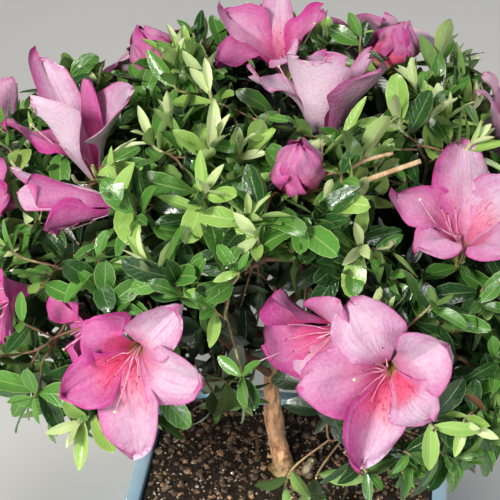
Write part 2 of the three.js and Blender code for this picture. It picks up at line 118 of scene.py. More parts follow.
# %% [markdown]
# The studio is a pale floor and four wide lamps, with one narrow low lamp for the trunk's foot. Large
# lamps give the soft-edged highlights that glossy leaves need, and a weak cool-white sky fills the
# shadows inside the crown.

# %% Studio
LAMPS = named_rows("around up away size power colour", [
    (-30, 37, 1.5, 0.3, 21, (1.0, 0.97, 0.91)),
    (-10, 16, 1.6, 0.4, 5.2, (1.0, 0.98, 0.95)),
    (46, 26, 1.8, 0.6, 7.0, (0.93, 0.96, 1.0)),
    (165, 58, 1.8, 0.8, 13, (1.0, 0.99, 0.96)),
])
AIM = Vector((0, 0, 0.19))
LOW_LAMP = {
    "around": -6, "up": 18, "away": 1.2, "size": 0.1, "power": 0.026, "colour": (1.0, 0.93, 0.84),
    "aim": Vector((-0.006, -0.02, 0.072)), "spread": 5,
}
SKY = {"colour": (0.93, 0.96, 1.0), "strength": 0.085}


def lamp(around, up, away, size, power, colour, aim=AIM, spread=180):
    data = bpy.data.lights.new("lamp", "AREA")
    data.shape = "DISK"
    data.size = size
    data.energy = power
    data.color = colour
    data.spread = math.radians(spread)
    thing = bpy.data.objects.new("lamp", data)
    outward = direction(around, up)
    turned = outward.to_track_quat("Z", "Y").to_matrix().to_4x4()
    thing.matrix_world = Matrix.Translation(aim + outward * away) @ turned
    bpy.context.collection.objects.link(thing)


def light_sky(colour, strength):
    world = bpy.data.worlds.new("sky")
    world.use_nodes = True
    sky = world.node_tree.nodes["Background"]
    sky.inputs["Color"].default_value = (*colour, 1)
    sky.inputs["Strength"].default_value = strength
    bpy.context.scene.world = world


for values in LAMPS + [LOW_LAMP]:
    lamp(**values)
light_sky(**SKY)
bpy.context.scene.view_settings.view_transform = "Standard"
print("lamps", len(LAMPS) + 1)

# %% [markdown]
# Node trees repeat the same few moves, so they get helpers: one makes a node with its values, one
# starts a material, and one starts a shader node group with named inputs and outputs.


# %% Node helpers
def add_node(tree, kind, inputs=(), **settings):
    made = tree.nodes.new(kind)
    for name, value in settings.items():
        setattr(made, name, value)
    for name, value in dict(inputs).items():
        if isinstance(value, bpy.types.NodeSocket):
            tree.links.new(value, made.inputs[name])
        else:
            made.inputs[name].default_value = value
    return made


def new_group(name, inputs, outputs):
    group = bpy.data.node_groups.new(name, "ShaderNodeTree")
    for label, kind, value in inputs:
        socket = group.interface.new_socket(label, in_out="INPUT", socket_type=kind)
        if value is not None:
            socket.default_value = value
    for label, kind in outputs:
        group.interface.new_socket(label, in_out="OUTPUT", socket_type=kind)
    return group, group.nodes.new("NodeGroupInput"), group.nodes.new("NodeGroupOutput")


def use_group(tree, group, **inputs):
    return add_node(tree, "ShaderNodeGroup", {k.replace("_", " "): v for k, v in inputs.items()},
                    node_tree=group)


def start_material(name, roughness=0.5, **plain):
    material = bpy.data.materials.new(name)
    material.use_nodes = True
    tree = material.node_tree
    surface = tree.nodes["Principled BSDF"]
    surface.inputs["Roughness"].default_value = roughness
    for label, value in plain.items():
        surface.inputs[label.replace("_", " ")].default_value = value
    return material, tree, surface


def math_node(tree, operation, a, b=0.0):
    made = tree.nodes.new("ShaderNodeMath")
    made.operation = operation
    for socket, value in zip(made.inputs, (a, b)):
        if isinstance(value, bpy.types.NodeSocket):
            tree.links.new(value, socket)
        else:
            socket.default_value = value
    return made.outputs[0]


def times(tree, a, b):
    return math_node(tree, "MULTIPLY", a, b)


def plus(tree, a, b):
    return math_node(tree, "ADD", a, b)


def minus(tree, a, b):
    return math_node(tree, "SUBTRACT", a, b)


def mix_colours(tree, factor, a, b):
    made = add_node(tree, "ShaderNodeMix", data_type="RGBA")
    for index, value in ((0, factor), (6, a), (7, b)):
        if isinstance(value, bpy.types.NodeSocket):
            tree.links.new(value, made.inputs[index])
        elif index == 0:
            made.inputs[index].default_value = value
        else:
            made.inputs[index].default_value = (*value, 1)
    return made.outputs[2]


def lay_over(tree, colour, mask, strength, coat):
    """A colour with a coat of another over it, as strong as the mask times the strength."""
    return mix_colours(tree, times(tree, mask, strength), colour, coat)


def smooth_step(tree, value, low, high):
    """0 below low and 1 above high, with a soft change between them."""
    made = add_node(tree, "ShaderNodeMapRange", {"Value": value}, interpolation_type="SMOOTHSTEP")
    made.inputs["From Min"].default_value = low
    made.inputs["From Max"].default_value = high
    return made.outputs["Result"]


def object_place(tree):
    return add_node(tree, "ShaderNodeTexCoord").outputs["Object"]


def attribute(tree, name):
    return add_node(tree, "ShaderNodeAttribute", attribute_name=name).outputs["Fac"]


def parts_of(tree, vector):
    return add_node(tree, "ShaderNodeSeparateXYZ", {"Vector": vector}).outputs


def cloud_noise(tree, place, scale, detail):
    made = add_node(tree, "ShaderNodeTexNoise", {"Vector": place, "Scale": scale, "Detail": detail})
    return made.outputs["Fac"]


def colour_surface(tree, surface, colour):
    tree.links.new(colour, surface.inputs["Base Color"])


def roughen(tree, surface, mask, change, least):
    """Roughness that rises from least with the mask."""
    made = math_node(tree, "MULTIPLY_ADD", mask, change)
    made.node.inputs[2].default_value = least
    tree.links.new(made, surface.inputs["Roughness"])


def bump(tree, surface, height, strength, distance):
    made = add_node(tree, "ShaderNodeBump", {"Height": height, "Strength": strength, "Distance": distance})
    tree.links.new(made.outputs["Normal"], surface.inputs["Normal"])


# %% [markdown]
# Two effects turn up on nearly every surface here. Mottle is a soft cloudy change, as in bark, soil
# and glaze. Flecks are small round spots: iron specks in a glaze, pits in bark, hairs on a leaf.
# Each is a node group, placed in a material with that surface's own scale.


# %% Mottle and flecks
def make_mottle():
    group, given, out = new_group(
        "mottle",
        [("Place", "NodeSocketVector", None), ("Scale", "NodeSocketFloat", 100),
         ("Detail", "NodeSocketFloat", 3), ("Contrast", "NodeSocketFloat", 0.25)],
        [("Value", "NodeSocketFloat")])
    cloud = cloud_noise(group, *(given.outputs[name] for name in ("Place", "Scale", "Detail")))
    low = minus(group, 0.5, given.outputs["Contrast"])
    high = plus(group, 0.5, given.outputs["Contrast"])
    spread = add_node(group, "ShaderNodeMapRange", {"Value": cloud, "From Min": low, "From Max": high},
                      interpolation_type="SMOOTHSTEP")
    group.links.new(spread.outputs["Result"], out.inputs["Value"])
    return group


def make_flecks():
    group, given, out = new_group(
        "flecks",
        [("Place", "NodeSocketVector", None), ("Scale", "NodeSocketFloat", 1000),
         ("Size", "NodeSocketFloat", 0.2), ("Share", "NodeSocketFloat", 0.5)],
        [("Mask", "NodeSocketFloat")])
    cells = add_node(group, "ShaderNodeTexVoronoi", {
        "Vector": given.outputs["Place"], "Scale": given.outputs["Scale"]})
    near = math_node(group, "LESS_THAN", cells.outputs["Distance"], given.outputs["Size"])
    chance = add_node(group, "ShaderNodeSeparateColor", {"Color": cells.outputs["Color"]})
    chosen = math_node(group, "LESS_THAN", chance.outputs["Red"], given.outputs["Share"])
    group.links.new(times(group, near, chosen), out.inputs["Mask"])
    return group


MOTTLE = make_mottle()
FLECKS = make_flecks()


def mottled(tree, place, scale, detail, contrast):
    group = use_group(tree, MOTTLE, Place=place, Scale=scale, Detail=detail, Contrast=contrast)
    return group.outputs["Value"]


def flecked(tree, place, scale, size, share):
    return use_group(tree, FLECKS, Place=place, Scale=scale, Size=size, Share=share).outputs["Mask"]


print("groups", MOTTLE.name, FLECKS.name)

# %% [markdown]
# Thousands of leaves, grains and twigs can't each be an object, so small shapes are gathered as
# arrays and joined into one mesh of their kind. A gathering keeps points, faces, local coordinates
# (for veins and edges) and one or more values per point, such as how light that leaf is.


# %% Gathering small shapes
CELL_MARGIN = 0.04


def new_piece(name, mesh, material):
    mesh.materials.append(material)
    piece = bpy.data.objects.new(name, mesh)
    bpy.context.collection.objects.link(piece)
    return piece


def add_map(mesh, label, places):
    mesh.uv_layers.new(name=label)
    mesh.uv_layers[label].uv.foreach_set("vector", places.astype(np.float32).ravel())


class Gathering:
    """Points, quads and values of many small shapes, to be joined as one mesh."""

    def __init__(self, *value_names, bake_cells=False):
        self.points, self.quads, self.local, self.values = [], [], [], []
        self.value_names = value_names
        self.bake_cells = bake_cells
        self.count = 0

    def add(self, points, quads, local, values=()):
        self.quads.append(quads + self.count)
        self.points.append(points)
        self.local.append(local)
        spread = [np.broadcast_to(np.asarray(value, float), len(points)) for value in values]
        self.values.append(np.stack(spread, axis=1) if spread else np.zeros((len(points), 0)))
        self.count += len(points)

    def cells(self):
        """Each shape's local coordinates in a cell of its own, so no two shapes share a place."""
        across = math.ceil(math.sqrt(len(self.local)))
        owner = np.repeat(np.arange(len(self.local)), [len(part) for part in self.local])
        corner = np.stack([owner % across, owner // across], axis=1)
        return (corner + CELL_MARGIN + (1 - 2 * CELL_MARGIN) * np.concatenate(self.local)) / across

    def join(self, name, material):
        points = np.concatenate(self.points)
        quads = np.concatenate(self.quads).astype(np.int32)
        corners = quads.ravel()
        mesh = bpy.data.meshes.new(name)
        mesh.vertices.add(len(points))
        mesh.vertices.foreach_set("co", points.astype(np.float32).ravel())
        mesh.loops.add(quads.size)
        mesh.loops.foreach_set("vertex_index", corners)
        mesh.polygons.add(len(quads))
        mesh.polygons.foreach_set("loop_start", np.arange(0, quads.size, quads.shape[1], dtype=np.int32))
        mesh.polygons.foreach_set("use_smooth", np.ones(len(quads), dtype=bool))
        add_map(mesh, "local", np.concatenate(self.local)[corners])
        if self.bake_cells:
            add_map(mesh, "OFBake", self.cells()[corners])
        values = np.concatenate(self.values)
        for column, label in enumerate(self.value_names):
            layer = mesh.attributes.new(label, "FLOAT", "POINT")
            layer.data.foreach_set("value", values[:, column].astype(np.float32))
        mesh.update(calc_edges=True)
        mesh.validate()
        print(name, "triangles", len(quads) * (quads.shape[1] - 2))
        return new_piece(name, mesh, material)


def grid_template(columns, rows):
    """A flat grid from the bmesh operator: across -1 to 1, along 0 to 1, and its quads."""
    bm = bmesh.new()
    bmesh.ops.create_grid(bm, x_segments=columns, y_segments=rows, size=1)
    bm.verts.ensure_lookup_table()
    flat = np.array([vert.co[:2] for vert in bm.verts])
    quads = np.array([[vert.index for vert in face.verts] for face in bm.faces])
    bm.free()
    return flat[:, 0], (flat[:, 1] + 1) / 2, quads


def piece_from(bm, name, material, smooth=True):
    """An object at the origin that holds this bmesh."""
    bmesh.ops.recalc_face_normals(bm, faces=bm.faces)
    mesh = bpy.data.meshes.new(name)
    bm.to_mesh(mesh)
    bm.free()
    mesh.polygons.foreach_set("use_smooth", [smooth] * len(mesh.polygons))
    return new_piece(name, mesh, material)


# %% [markdown]
# The pot is slip-cast stoneware under a glossy sky-blue glaze. The glaze thins to a paler tone on
# the lip's edges and pools a little deeper in the walls, with fine specks. One outline is extruded
# ring by ring up the outside, over the lip and down inside, each ring set in by its own amount.

# %% Pot
POT_HALF = Vector((90, 67)) * MM
POT_CORNER = 15 * MM
CORNER_STEPS = 12
POT_PROFILE = [
    (11.4, 0), (9.9, 0), (9.3, 0.6), (9.0, 1.8), (6.8, 22), (4.6, 42), (3.5, 53.2), (3.1, 54),
    (1.2, 54.3), (0.35, 54.9), (0, 56), (0, 64.2), (0.4, 65.4), (1.3, 66), (7.3, 66), (8.2, 65.6),
    (8.55, 64.6), (8.8, 60), (11.6, 12), (13, 9.4), (20, 9),
]


GLAZE_LOOK = {"deep": (0.21, 0.47, 0.7), "light": (0.36, 0.64, 0.84), "thin": (0.7, 0.8, 0.83),
              "specks": (0.13, 0.2, 0.24)}


def glaze_material():
    look = GLAZE_LOOK
    material, tree, surface = start_material("sky_glaze", Coat_Weight=0.6, Coat_Roughness=0.06)
    place = object_place(tree)
    cloud = mottled(tree, place, 38.0, 4.0, 0.3)
    colour = mix_colours(tree, cloud, look["deep"], look["light"])
    edge = add_node(tree, "ShaderNodeNewGeometry").outputs["Pointiness"]
    colour = lay_over(tree, colour, smooth_step(tree, edge, 0.515, 0.56), 0.8, look["thin"])
    colour = lay_over(tree, colour, flecked(tree, place, 420.0, 0.16, 0.3), 0.4, look["specks"])
    colour_surface(tree, surface, colour)
    roughen(tree, surface, cloud, 0.1, 0.14)
    bump(tree, surface, cloud_noise(tree, place, 160.0, 2.0), 0.12, 0.0006)
    return material


def outline_face(bm, half, corner):
    """One face at the origin: a rectangle whose four corners are rounded by a bevel."""
    bmesh.ops.create_grid(bm, x_segments=1, y_segments=1, size=1)
    bmesh.ops.scale(bm, vec=(half.x, half.y, 1), verts=bm.verts[:])
    bmesh.ops.bevel(bm, geom=bm.verts[:], offset=corner, offset_type="OFFSET", segments=CORNER_STEPS,
                    profile=0.5, affect="VERTICES", material=-1)
    return max(bm.faces, key=lambda face: face.calc_area())


def only_edges(parts):
    return [part for part in parts if isinstance(part, bmesh.types.BMEdge)]


def pot_shell():
    bm = bmesh.new()
    edges = outline_face(bm, POT_HALF, POT_CORNER).edges[:]
    before = [1.0, 1.0]
    for step, (inset, height) in enumerate(POT_PROFILE):
        if step > 0:
            edges = only_edges(bmesh.ops.extrude_edge_only(bm, edges=edges)["geom"])
        share = [1 - inset * MM / half for half in POT_HALF]
        ring = {vert for edge in edges for vert in edge.verts}
        for vert in ring:
            vert.co.x *= share[0] / before[0]
            vert.co.y *= share[1] / before[1]
            vert.co.z = height * MM
        before = share
    bmesh.ops.contextual_create(bm, geom=edges)
    return bm


glazed_pot = piece_from(pot_shell(), "glazed_pot", glaze_material())
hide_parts("pot")
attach(glazed_pot, "root")
print("pot", [round(v * 1000, 1) for v in glazed_pot.dimensions])

# %% [markdown]
# The pot is filled with a coarse mix of bark bits, pale grit and crumbs. The bed itself is a grid
# pressed into the pot's outline and lumped by noise, with its rim drawn down to close it. The bits
# are scattered over it by a seeded rule, flat side down, sunk by a part of their height.

# %% Soil
SOIL_TOP = 62 * MM
SOIL_HALF = Vector((80.9, 57.9)) * MM
SOIL_CORNER = 7 * MM
SOIL_FOOT = 9.6 * MM
SOIL_GRID = (120, 86)
SOIL_TAPER = 0.955
SOIL_LUMPS = {"height": 0.9, "small": 260, "wide": 95, "dip": 0.6, "calm": 0.35}
TRUNK_FOOT = Vector((-5, 0, 62)) * MM
LEVEL_ROOM = 12 * MM
LEVEL_CHANGE = 20 * MM


def soil_height(x, y):
    """The height of the bed: low waves and lumps, level near the trunk."""
    away = math.hypot(x - TRUNK_FOOT.x, y - TRUNK_FOOT.y)
    slope = min(1.0, max(0.0, (away - LEVEL_ROOM) / LEVEL_CHANGE))
    small = noise.noise(Vector((x, y, 0)) * SOIL_LUMPS["small"])
    wide = noise.noise(Vector((x, y, 3)) * SOIL_LUMPS["wide"])
    share = SOIL_LUMPS["calm"] + (1 - SOIL_LUMPS["calm"]) * slope
    return SOIL_TOP + ((small + wide) * SOIL_LUMPS["height"] * share - SOIL_LUMPS["dip"] * slope) * MM


def into_outline(x, y, half, corner):
    """Moves a point of a rectangle in so that its corners are rounded."""
    over_x, over_y = abs(x) - (half.x - corner), abs(y) - (half.y - corner)
    if over_x <= 0 or over_y <= 0:
        return x, y
    longest = max(over_x, over_y)
    share = longest / math.hypot(over_x, over_y)
    across, along = half.x - corner + over_x * share, half.y - corner + over_y * share
    return math.copysign(across, x), math.copysign(along, y)


def soil_bed():
    bm = bmesh.new()
    bmesh.ops.create_grid(bm, x_segments=SOIL_GRID[0], y_segments=SOIL_GRID[1], size=1)
    for vert in bm.verts:
        x, y = into_outline(vert.co.x * SOIL_HALF.x, vert.co.y * SOIL_HALF.y, SOIL_HALF, SOIL_CORNER)
        vert.co = (x, y, soil_height(x, y))
    rim = [edge for edge in bm.edges if edge.is_boundary]
    grown = bmesh.ops.extrude_edge_only(bm, edges=rim)["geom"]
    for vert in grown:
        if isinstance(vert, bmesh.types.BMVert):
            vert.co = (vert.co.x * SOIL_TAPER, vert.co.y * SOIL_TAPER, SOIL_FOOT)
    bmesh.ops.contextual_create(bm, geom=only_edges(grown))
    return bm


def soil_material(name, dark, light, roughness=0.92):
    material, tree, surface = start_material(name, roughness)
    place = object_place(tree)
    colour = mix_colours(tree, mottled(tree, place, 240.0, 4.0, 0.3), dark, light)
    colour_surface(tree, surface, lay_over(tree, colour, attribute(tree, "tint"), 0.6, dark))
    bump(tree, surface, cloud_noise(tree, place, 1500.0, 4.0), 0.8, 0.0008)
    return material


# The bed is nearly black where it shows between the bits.
near_black_soil = soil_material("near_black_soil", (0.008, 0.005, 0.0035), (0.05, 0.03, 0.018))
potting_bed = piece_from(soil_bed(), "potting_bed", near_black_soil)
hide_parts("soil")

# %% [markdown]
# A bit is a small rounded block: a cube cut once each way, whose corners are then pulled round and
# pushed about by noise, so it stays at two dozen faces. Pale bits and dark crumbs start from an
# icosphere instead. Four shapes of each are enough, turned every way.

# %% Bits on the soil
BIT_KINDS = named_rows("name count size flat dark light seed blocky", [
    ("bark_bits", 560, (2.2, 7.2), 0.65, (0.05, 0.028, 0.016), (0.4, 0.28, 0.19), 5, True),
    ("pale_bits", 950, (0.9, 4.2), 0.8, (0.46, 0.38, 0.27), (0.86, 0.8, 0.67), 6, False),
    ("tan_bits", 560, (1.5, 6.0), 0.55, (0.3, 0.14, 0.06), (0.72, 0.5, 0.3), 7, True),
    ("dark_crumbs", 2100, (1.1, 3.8), 0.8, (0.006, 0.004, 0.003), (0.07, 0.042, 0.026), 8, False),
])
BIT_SHAPES = 4
BIT_LUMPS = {"often": 1.3, "apart": 7.1, "least": 0.14, "rounded": 0.4, "push": 0.22}
BIT_SIZE_POWER = 1.7
BIT_WIDTHS, BIT_HEIGHTS = (0.45, 0.9), (0.6, 1)
BIT_SPREAD = 0.985
BIT_TILT = 0.5
BIT_LIFT = 0.22
BIT_INSET = 1.5 * MM
BARE_ROOM = 7.2 * MM


def bit_template(seed, blocky):
    bm = bmesh.new()
    if blocky:
        bmesh.ops.create_cube(bm, size=1)
        bmesh.ops.subdivide_edges(bm, edges=bm.edges[:], cuts=1, use_grid_fill=True)
    else:
        bmesh.ops.create_icosphere(bm, subdivisions=1, radius=0.5)
    for vert in bm.verts:
        push = noise.noise_vector(vert.co * BIT_LUMPS["often"] + Vector((seed * BIT_LUMPS["apart"], 0, 0)))
        reach = BIT_LUMPS["least"] + BIT_LUMPS["rounded"] * vert.co.length
        vert.co = vert.co.normalized() * reach + push * BIT_LUMPS["push"]
    bm.verts.ensure_lookup_table()
    points = np.array([vert.co for vert in bm.verts])
    quads = np.array([[vert.index for vert in face.verts] for face in bm.faces])
    bm.free()
    return points, quads


def scatter_bits(name, count, size, flat, dark, light, seed, blocky):
    draw = random.Random(seed)
    templates = [bit_template(k, blocky) for k in range(BIT_SHAPES)]
    gathered = Gathering("tint")
    for k in range(count):
        x = draw.uniform(-1, 1) * (SOIL_HALF.x - BIT_INSET)
        y = draw.uniform(-1, 1) * (SOIL_HALF.y - BIT_INSET)
        x, y = into_outline(x, y, SOIL_HALF * BIT_SPREAD, SOIL_CORNER)
        if math.hypot(x - TRUNK_FOOT.x, y - TRUNK_FOOT.y) < BARE_ROOM:
            continue
        length = (size[0] + (size[1] - size[0]) * draw.random() ** BIT_SIZE_POWER) * MM
        width, height = length * draw.uniform(*BIT_WIDTHS), length * flat * draw.uniform(*BIT_HEIGHTS)
        scale = Matrix.Diagonal((length, width, height))
        turn = Matrix.Rotation(draw.uniform(0, math.tau), 3, "Z")
        tip = (Matrix.Rotation(draw.gauss(0, BIT_TILT), 3, "X")
               @ Matrix.Rotation(draw.gauss(0, BIT_TILT), 3, "Y"))
        points, quads = templates[k % BIT_SHAPES]
        lift = length * flat * BIT_LIFT
        placed = points @ np.array(turn @ tip @ scale).T + np.array((x, y, soil_height(x, y) + lift))
        gathered.add(placed, quads, points[:, :2], [draw.random()])
    piece = gathered.join(name, soil_material(name, dark, light, 0.5))
    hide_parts("soil")
    return piece


soil_pieces = [potting_bed] + [scatter_bits(**kind) for kind in BIT_KINDS]
for piece in soil_pieces:
    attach(piece, "root")

# %% [markdown]
# The crown's rule comes from the same sizes as the solids. The crown is a flattened dome with low
# waves around it. Each mass has its own share of the dome: the points that are nearer its centre
# than any other's. Over the front of the trunk the dome's skirt is lifted, which leaves the window
# through which the trunk and the soil show.

# %% The crown's sizes
CROWN_CENTRE = Vector((-12, 22, 200)) * MM
CROWN_REACH = Vector((175, 155, 102)) * MM
CROWN_WAVES = [(3, 0.035, 0.6), (5, 0.025, -1.1), (2, 0.02, 2.2)]
SKIRT = {"lowest": -21, "front_rise": 36, "front_angle": -3, "front_spread": 15}
HUB_SHARE = 0.47
MASS_SHARE = 0.74
MASSES = [
    ("front_left", -36, -3, 130), ("front_right", 38, -3, 137), ("right", 88, -3, 151),
    ("back_right", 135, -3, 165), ("back", 180, -3, 158), ("back_left", -135, -3, 172),
    ("left", -88, -3, 144), ("upper_front", 0, 43, 181), ("upper_right", 90, 43, 188),
    ("upper_back", 180, 43, 202), ("upper_left", -90, 43, 195), ("crown_top", 0, 90, 214),
]


def by_reach(vector, power=1):
    """A vector with each part divided by the crown's reach that way."""
    return Vector([value / reach ** power for value, reach in zip(vector, CROWN_REACH)])


def crown_wave(around):
    turn = math.radians(around)
    return 1 + sum(size * math.sin(count * turn + start) for count, size, start in CROWN_WAVES)


def crown_point(around, up, share=1.0):
    outward = direction(around, up)
    wave = crown_wave(around)
    wave += (1 - wave) * max(0, outward.z)
    return CROWN_CENTRE + Vector([o * r for o, r in zip(outward, CROWN_REACH)]) * share * wave


def skirt_angle(around):
    off = ((around - SKIRT["front_angle"] + 180) % 360 - 180) / SKIRT["front_spread"]
    return SKIRT["lowest"] + SKIRT["front_rise"] * math.exp(-off * off)


mass_centres = np.array([crown_point(around, up, MASS_SHARE) for _, around, up, _ in MASSES])


def nearest_mass(point):
    return int(np.argmin(np.linalg.norm(mass_centres - np.array(point), axis=1)))


print("masses", len(mass_centres))

# %% [markdown]
# A limb is a tube along a smooth curve through a few named points. The tube is a grid from the
# bmesh operator, wrapped round the curve, so its points can be pushed in and out for the bark.
# Frames are carried along the curve from ring to ring, which keeps the tube from twisting.


# %% Curves and tubes
def smooth_path(stops, values, steps):
    """Catmull-Rom points and interpolated values along stops, with steps to each stretch."""
    stops = [np.array(stop, float) for stop in stops]
    ends = [2 * stops[0] - stops[1]] + stops + [2 * stops[-1] - stops[-2]]
    path, spread = [], []
    for k in range(len(stops) - 1):
        a, b, c, d = ends[k:k + 4]
        last = k == len(stops) - 2
        for t in np.linspace(0, 1, steps + 1)[:None if last else -1]:
            path.append(0.5 * (2 * b + (c - a) * t + (2 * a - 5 * b + 4 * c - d) * t * t
                               + (3 * b - a - 3 * c + d) * t ** 3))
            spread.append(values[k] + (values[k + 1] - values[k]) * t)
    return np.array(path), np.array(spread)


def carried_frames(path):
    """At each point: the curve's direction, and two directions square to it."""
    along = np.gradient(path, axis=0)
    along /= np.linalg.norm(along, axis=1)[:, None]
    helper = np.array((1.0, 0, 0)) if abs(along[0][2]) > 0.9 else np.array((0, 0, 1.0))
    across = np.cross(helper, along[0])
    frames = []
    for step in along:
        across = across - step * across.dot(step)
        across /= np.linalg.norm(across)
        frames.append((across, np.cross(step, across)))
    return along, np.array([f[0] for f in frames]), np.array([f[1] for f in frames])


def limb_bmesh(path, radius_at, sides):
    """A closed tube, made from a grid, whose radius comes from radius_at(ring, turn)."""
    _, across, beside = carried_frames(path)
    bm = bmesh.new()
    bmesh.ops.create_grid(bm, x_segments=sides, y_segments=len(path) - 1, size=1)
    for vert in bm.verts:
        turn = (vert.co.x + 1) * math.pi
        ring = round((vert.co.y + 1) / 2 * (len(path) - 1))
        spoke = across[ring] * math.cos(turn) + beside[ring] * math.sin(turn)
        vert.co = path[ring] + spoke * radius_at(ring, turn % math.tau)
    bmesh.ops.remove_doubles(bm, verts=bm.verts[:], dist=1e-6)
    bmesh.ops.holes_fill(bm, edges=[edge for edge in bm.edges if edge.is_boundary], sides=0)
    return bm


# %% [markdown]
# Trunk: 152 mm of slim, leaning stem that swells a little at 98 mm, flares over four blunt ribs at
# the soil, and tapers to its tip under the crown. The bark's relief is in the mesh: long shallow
# ridges, small pits where old buds were, and a few ring scars. The boughs and the stub get the same
# ridges and pits, finer.

# %% Trunk and boughs
TRUNK_STOPS = [(-5, 0, 60.6), (-5, 0, 67.3), (-9.2, 0.5, 90.3), (-12, 1, 126), (-10, 9, 170), (-12, 20, 214)]
TRUNK_RADII = [5.6, 5.35, 4.8, 4.1, 3.2, 2.4]
FLARE = {"size": 2.4, "height": 4.5, "ribs": 0.35, "rib_count": 4}
BULGE = {"height": 98, "spread": 9, "size": 0.9}
SCAR = {"half_height": 1.3, "size": 0.75}
LIMB_MESH = {
    "trunk": {"steps": 56, "sides": 44, "fine": 1.0},
    "bough": {"steps": 30, "sides": 18, "fine": 0.55},
    "stub": {"steps": 12, "sides": 26, "fine": 0.9},
    "bare": {"steps": 10, "sides": 12, "fine": 0.3},
}
BARK_WAVES = {"ridges": 620, "lumps": 210, "pits": 520, "grain": 1500}
BARK_HEIGHTS = {"ridges": 0.4, "lumps": 0.5, "pits": 1.9, "grain": 0.13}
RIDGE_STRETCH = 0.22
PIT_LEVEL = 0.28
PIT_SHIFT = Vector((9, 4, 1))
WANDER_WAVES = 38
RING_SCARS = [(74, 1.2), (84, 3.9), (93, 0.4), (103, 5.1), (111, 2.3), (118, 4.4)]
BOUGH = {"foot_share": 0.74, "tip_share": 0.66, "arch": 5, "swell": 1.12, "waist": 0.86, "wander": 2.2}
STUB_FOOT = Vector((8.5, -2, 60.5))
STUB_TOP = STUB_FOOT + Vector((4.5, 1.5, 12))
STUB_KNEE = STUB_FOOT.lerp(STUB_TOP, 0.45) - Vector((1.2, 0.4, 0))
STUB_RADII = [2.9, 2.5, 2.05]


def bark_relief(point, fine):
    """How far the bark stands out at a point, in metres: long ridges, lumps, grain and pits."""
    place = Vector(point)
    places = {"ridges": Vector((place.x, place.y, place.z * RIDGE_STRETCH)), "lumps": place, "grain": place}
    height = sum(BARK_HEIGHTS[part] * noise.noise(where * BARK_WAVES[part]) for part, where in places.items())
    pit = max(0.0, noise.noise(place * BARK_WAVES["pits"] + PIT_SHIFT) - PIT_LEVEL)
    return (height - BARK_HEIGHTS["pits"] * pit) * MM * fine


def barked_limb(kind, stops, sizes, upright=False, swelling=None, wander=0):
    """A limb's mesh, with bark relief, and its path. Sizes are radii in millimetres."""
    sides, fine = LIMB_MESH[kind]["sides"], LIMB_MESH[kind]["fine"]
    path, radii = smooth_path(stops, sizes, LIMB_MESH[kind]["steps"])
    if wander:
        pushed = np.array([noise.noise_vector(Vector(point) * WANDER_WAVES) for point in path])
        path = path + pushed * wander * MM * np.sin(np.linspace(0, math.pi, len(path)))[:, None]

    def radius_at(ring, turn):
        plain = radii[ring] + (swelling(path[ring][2] / MM, turn) if swelling else 0)
        across, beside = math.cos(turn), math.sin(turn)
        outward = np.array((across, beside, 0) if upright else (across, 0, beside))
        return plain * MM + bark_relief(path[ring] + outward * plain * MM, fine)

    return limb_bmesh(path, radius_at, sides), path


def trunk_swelling(height_mm, turn):
    """The flare over the ribs, the bulge and the ring scars, in millimetres."""
    above = max(0.0, height_mm - TRUNK_FOOT.z / MM)
    spread = FLARE["size"] * math.exp(-above / FLARE["height"])
    bulge = BULGE["size"] * math.exp(-((height_mm - BULGE["height"]) / BULGE["spread"]) ** 2)
    scars = 0.0
    for scar_height, scar_turn in RING_SCARS:
        near = math.exp(-((height_mm - scar_height) / SCAR["half_height"]) ** 2)
        scars += SCAR["size"] * near * max(0.0, math.cos(turn - scar_turn)) ** 3
    ribs = 1 + FLARE["ribs"] * math.cos(FLARE["rib_count"] * turn + 0.5)
    return bulge + spread * ribs + scars


def trunk_point(height_mm):
    return Vector(trunk_path[int(np.argmin(np.abs(trunk_path[:, 2] - height_mm * MM)))])


def trunk_size(height_mm):
    return float(np.interp(height_mm, [stop[2] for stop in TRUNK_STOPS], TRUNK_RADII))


def bough_stops(around, up, leaves_at):
    start = trunk_point(leaves_at)
    end = crown_point(around, up, HUB_SHARE)
    arch = start.lerp(end, 0.5) + UP * BOUGH["arch"] * MM
    return [start, start * 0.25 + arch * 0.5 + end * 0.25, end]


def bough_bmesh(stops, foot):
    sizes = [foot * BOUGH["swell"], foot * BOUGH["waist"], foot * BOUGH["tip_share"]]
    return barked_limb("bough", stops, sizes, wander=BOUGH["wander"])


BARK_PITS = (0.05, 0.026, 0.016)
MOSS = {"colour": (0.12, 0.17, 0.035), "foot": 0.063, "top": 0.078}


def bark_material(name, dark, light, ridge, moss=0.0):
    """Mottled bark with dark pits, pale ridges and, near the soil, a breath of moss."""
    material, tree, surface = start_material(name, 0.78)
    place = object_place(tree)
    stretched = add_node(tree, "ShaderNodeMapping", {"Vector": place, "Scale": (1, 1, 0.35)})
    long_place = stretched.outputs["Vector"]
    cloud = mottled(tree, long_place, 330.0, 6.0, 0.13)
    colour = mix_colours(tree, cloud, dark, light)
    colour = lay_over(tree, colour, mottled(tree, place, 85.0, 3.0, 0.16), 0.45, ridge)
    pits = flecked(tree, long_place, 1050.0, 0.3, 0.25)
    colour = lay_over(tree, colour, pits, 0.5, BARK_PITS)
    if moss:
        low = smooth_step(tree, parts_of(tree, place)["Z"], MOSS["top"], MOSS["foot"])
        mossy = times(tree, low, mottled(tree, place, 300.0, 3.0, 0.12))
        colour = lay_over(tree, colour, mossy, moss, MOSS["colour"])
    colour_surface(tree, surface, colour)
    roughen(tree, surface, cloud, 0.16, 0.7)
    fine = cloud_noise(tree, long_place, 1300.0, 4.0)
    bump(tree, surface, minus(tree, fine, times(tree, pits, 0.8)), 0.7, 0.0006)
    return material


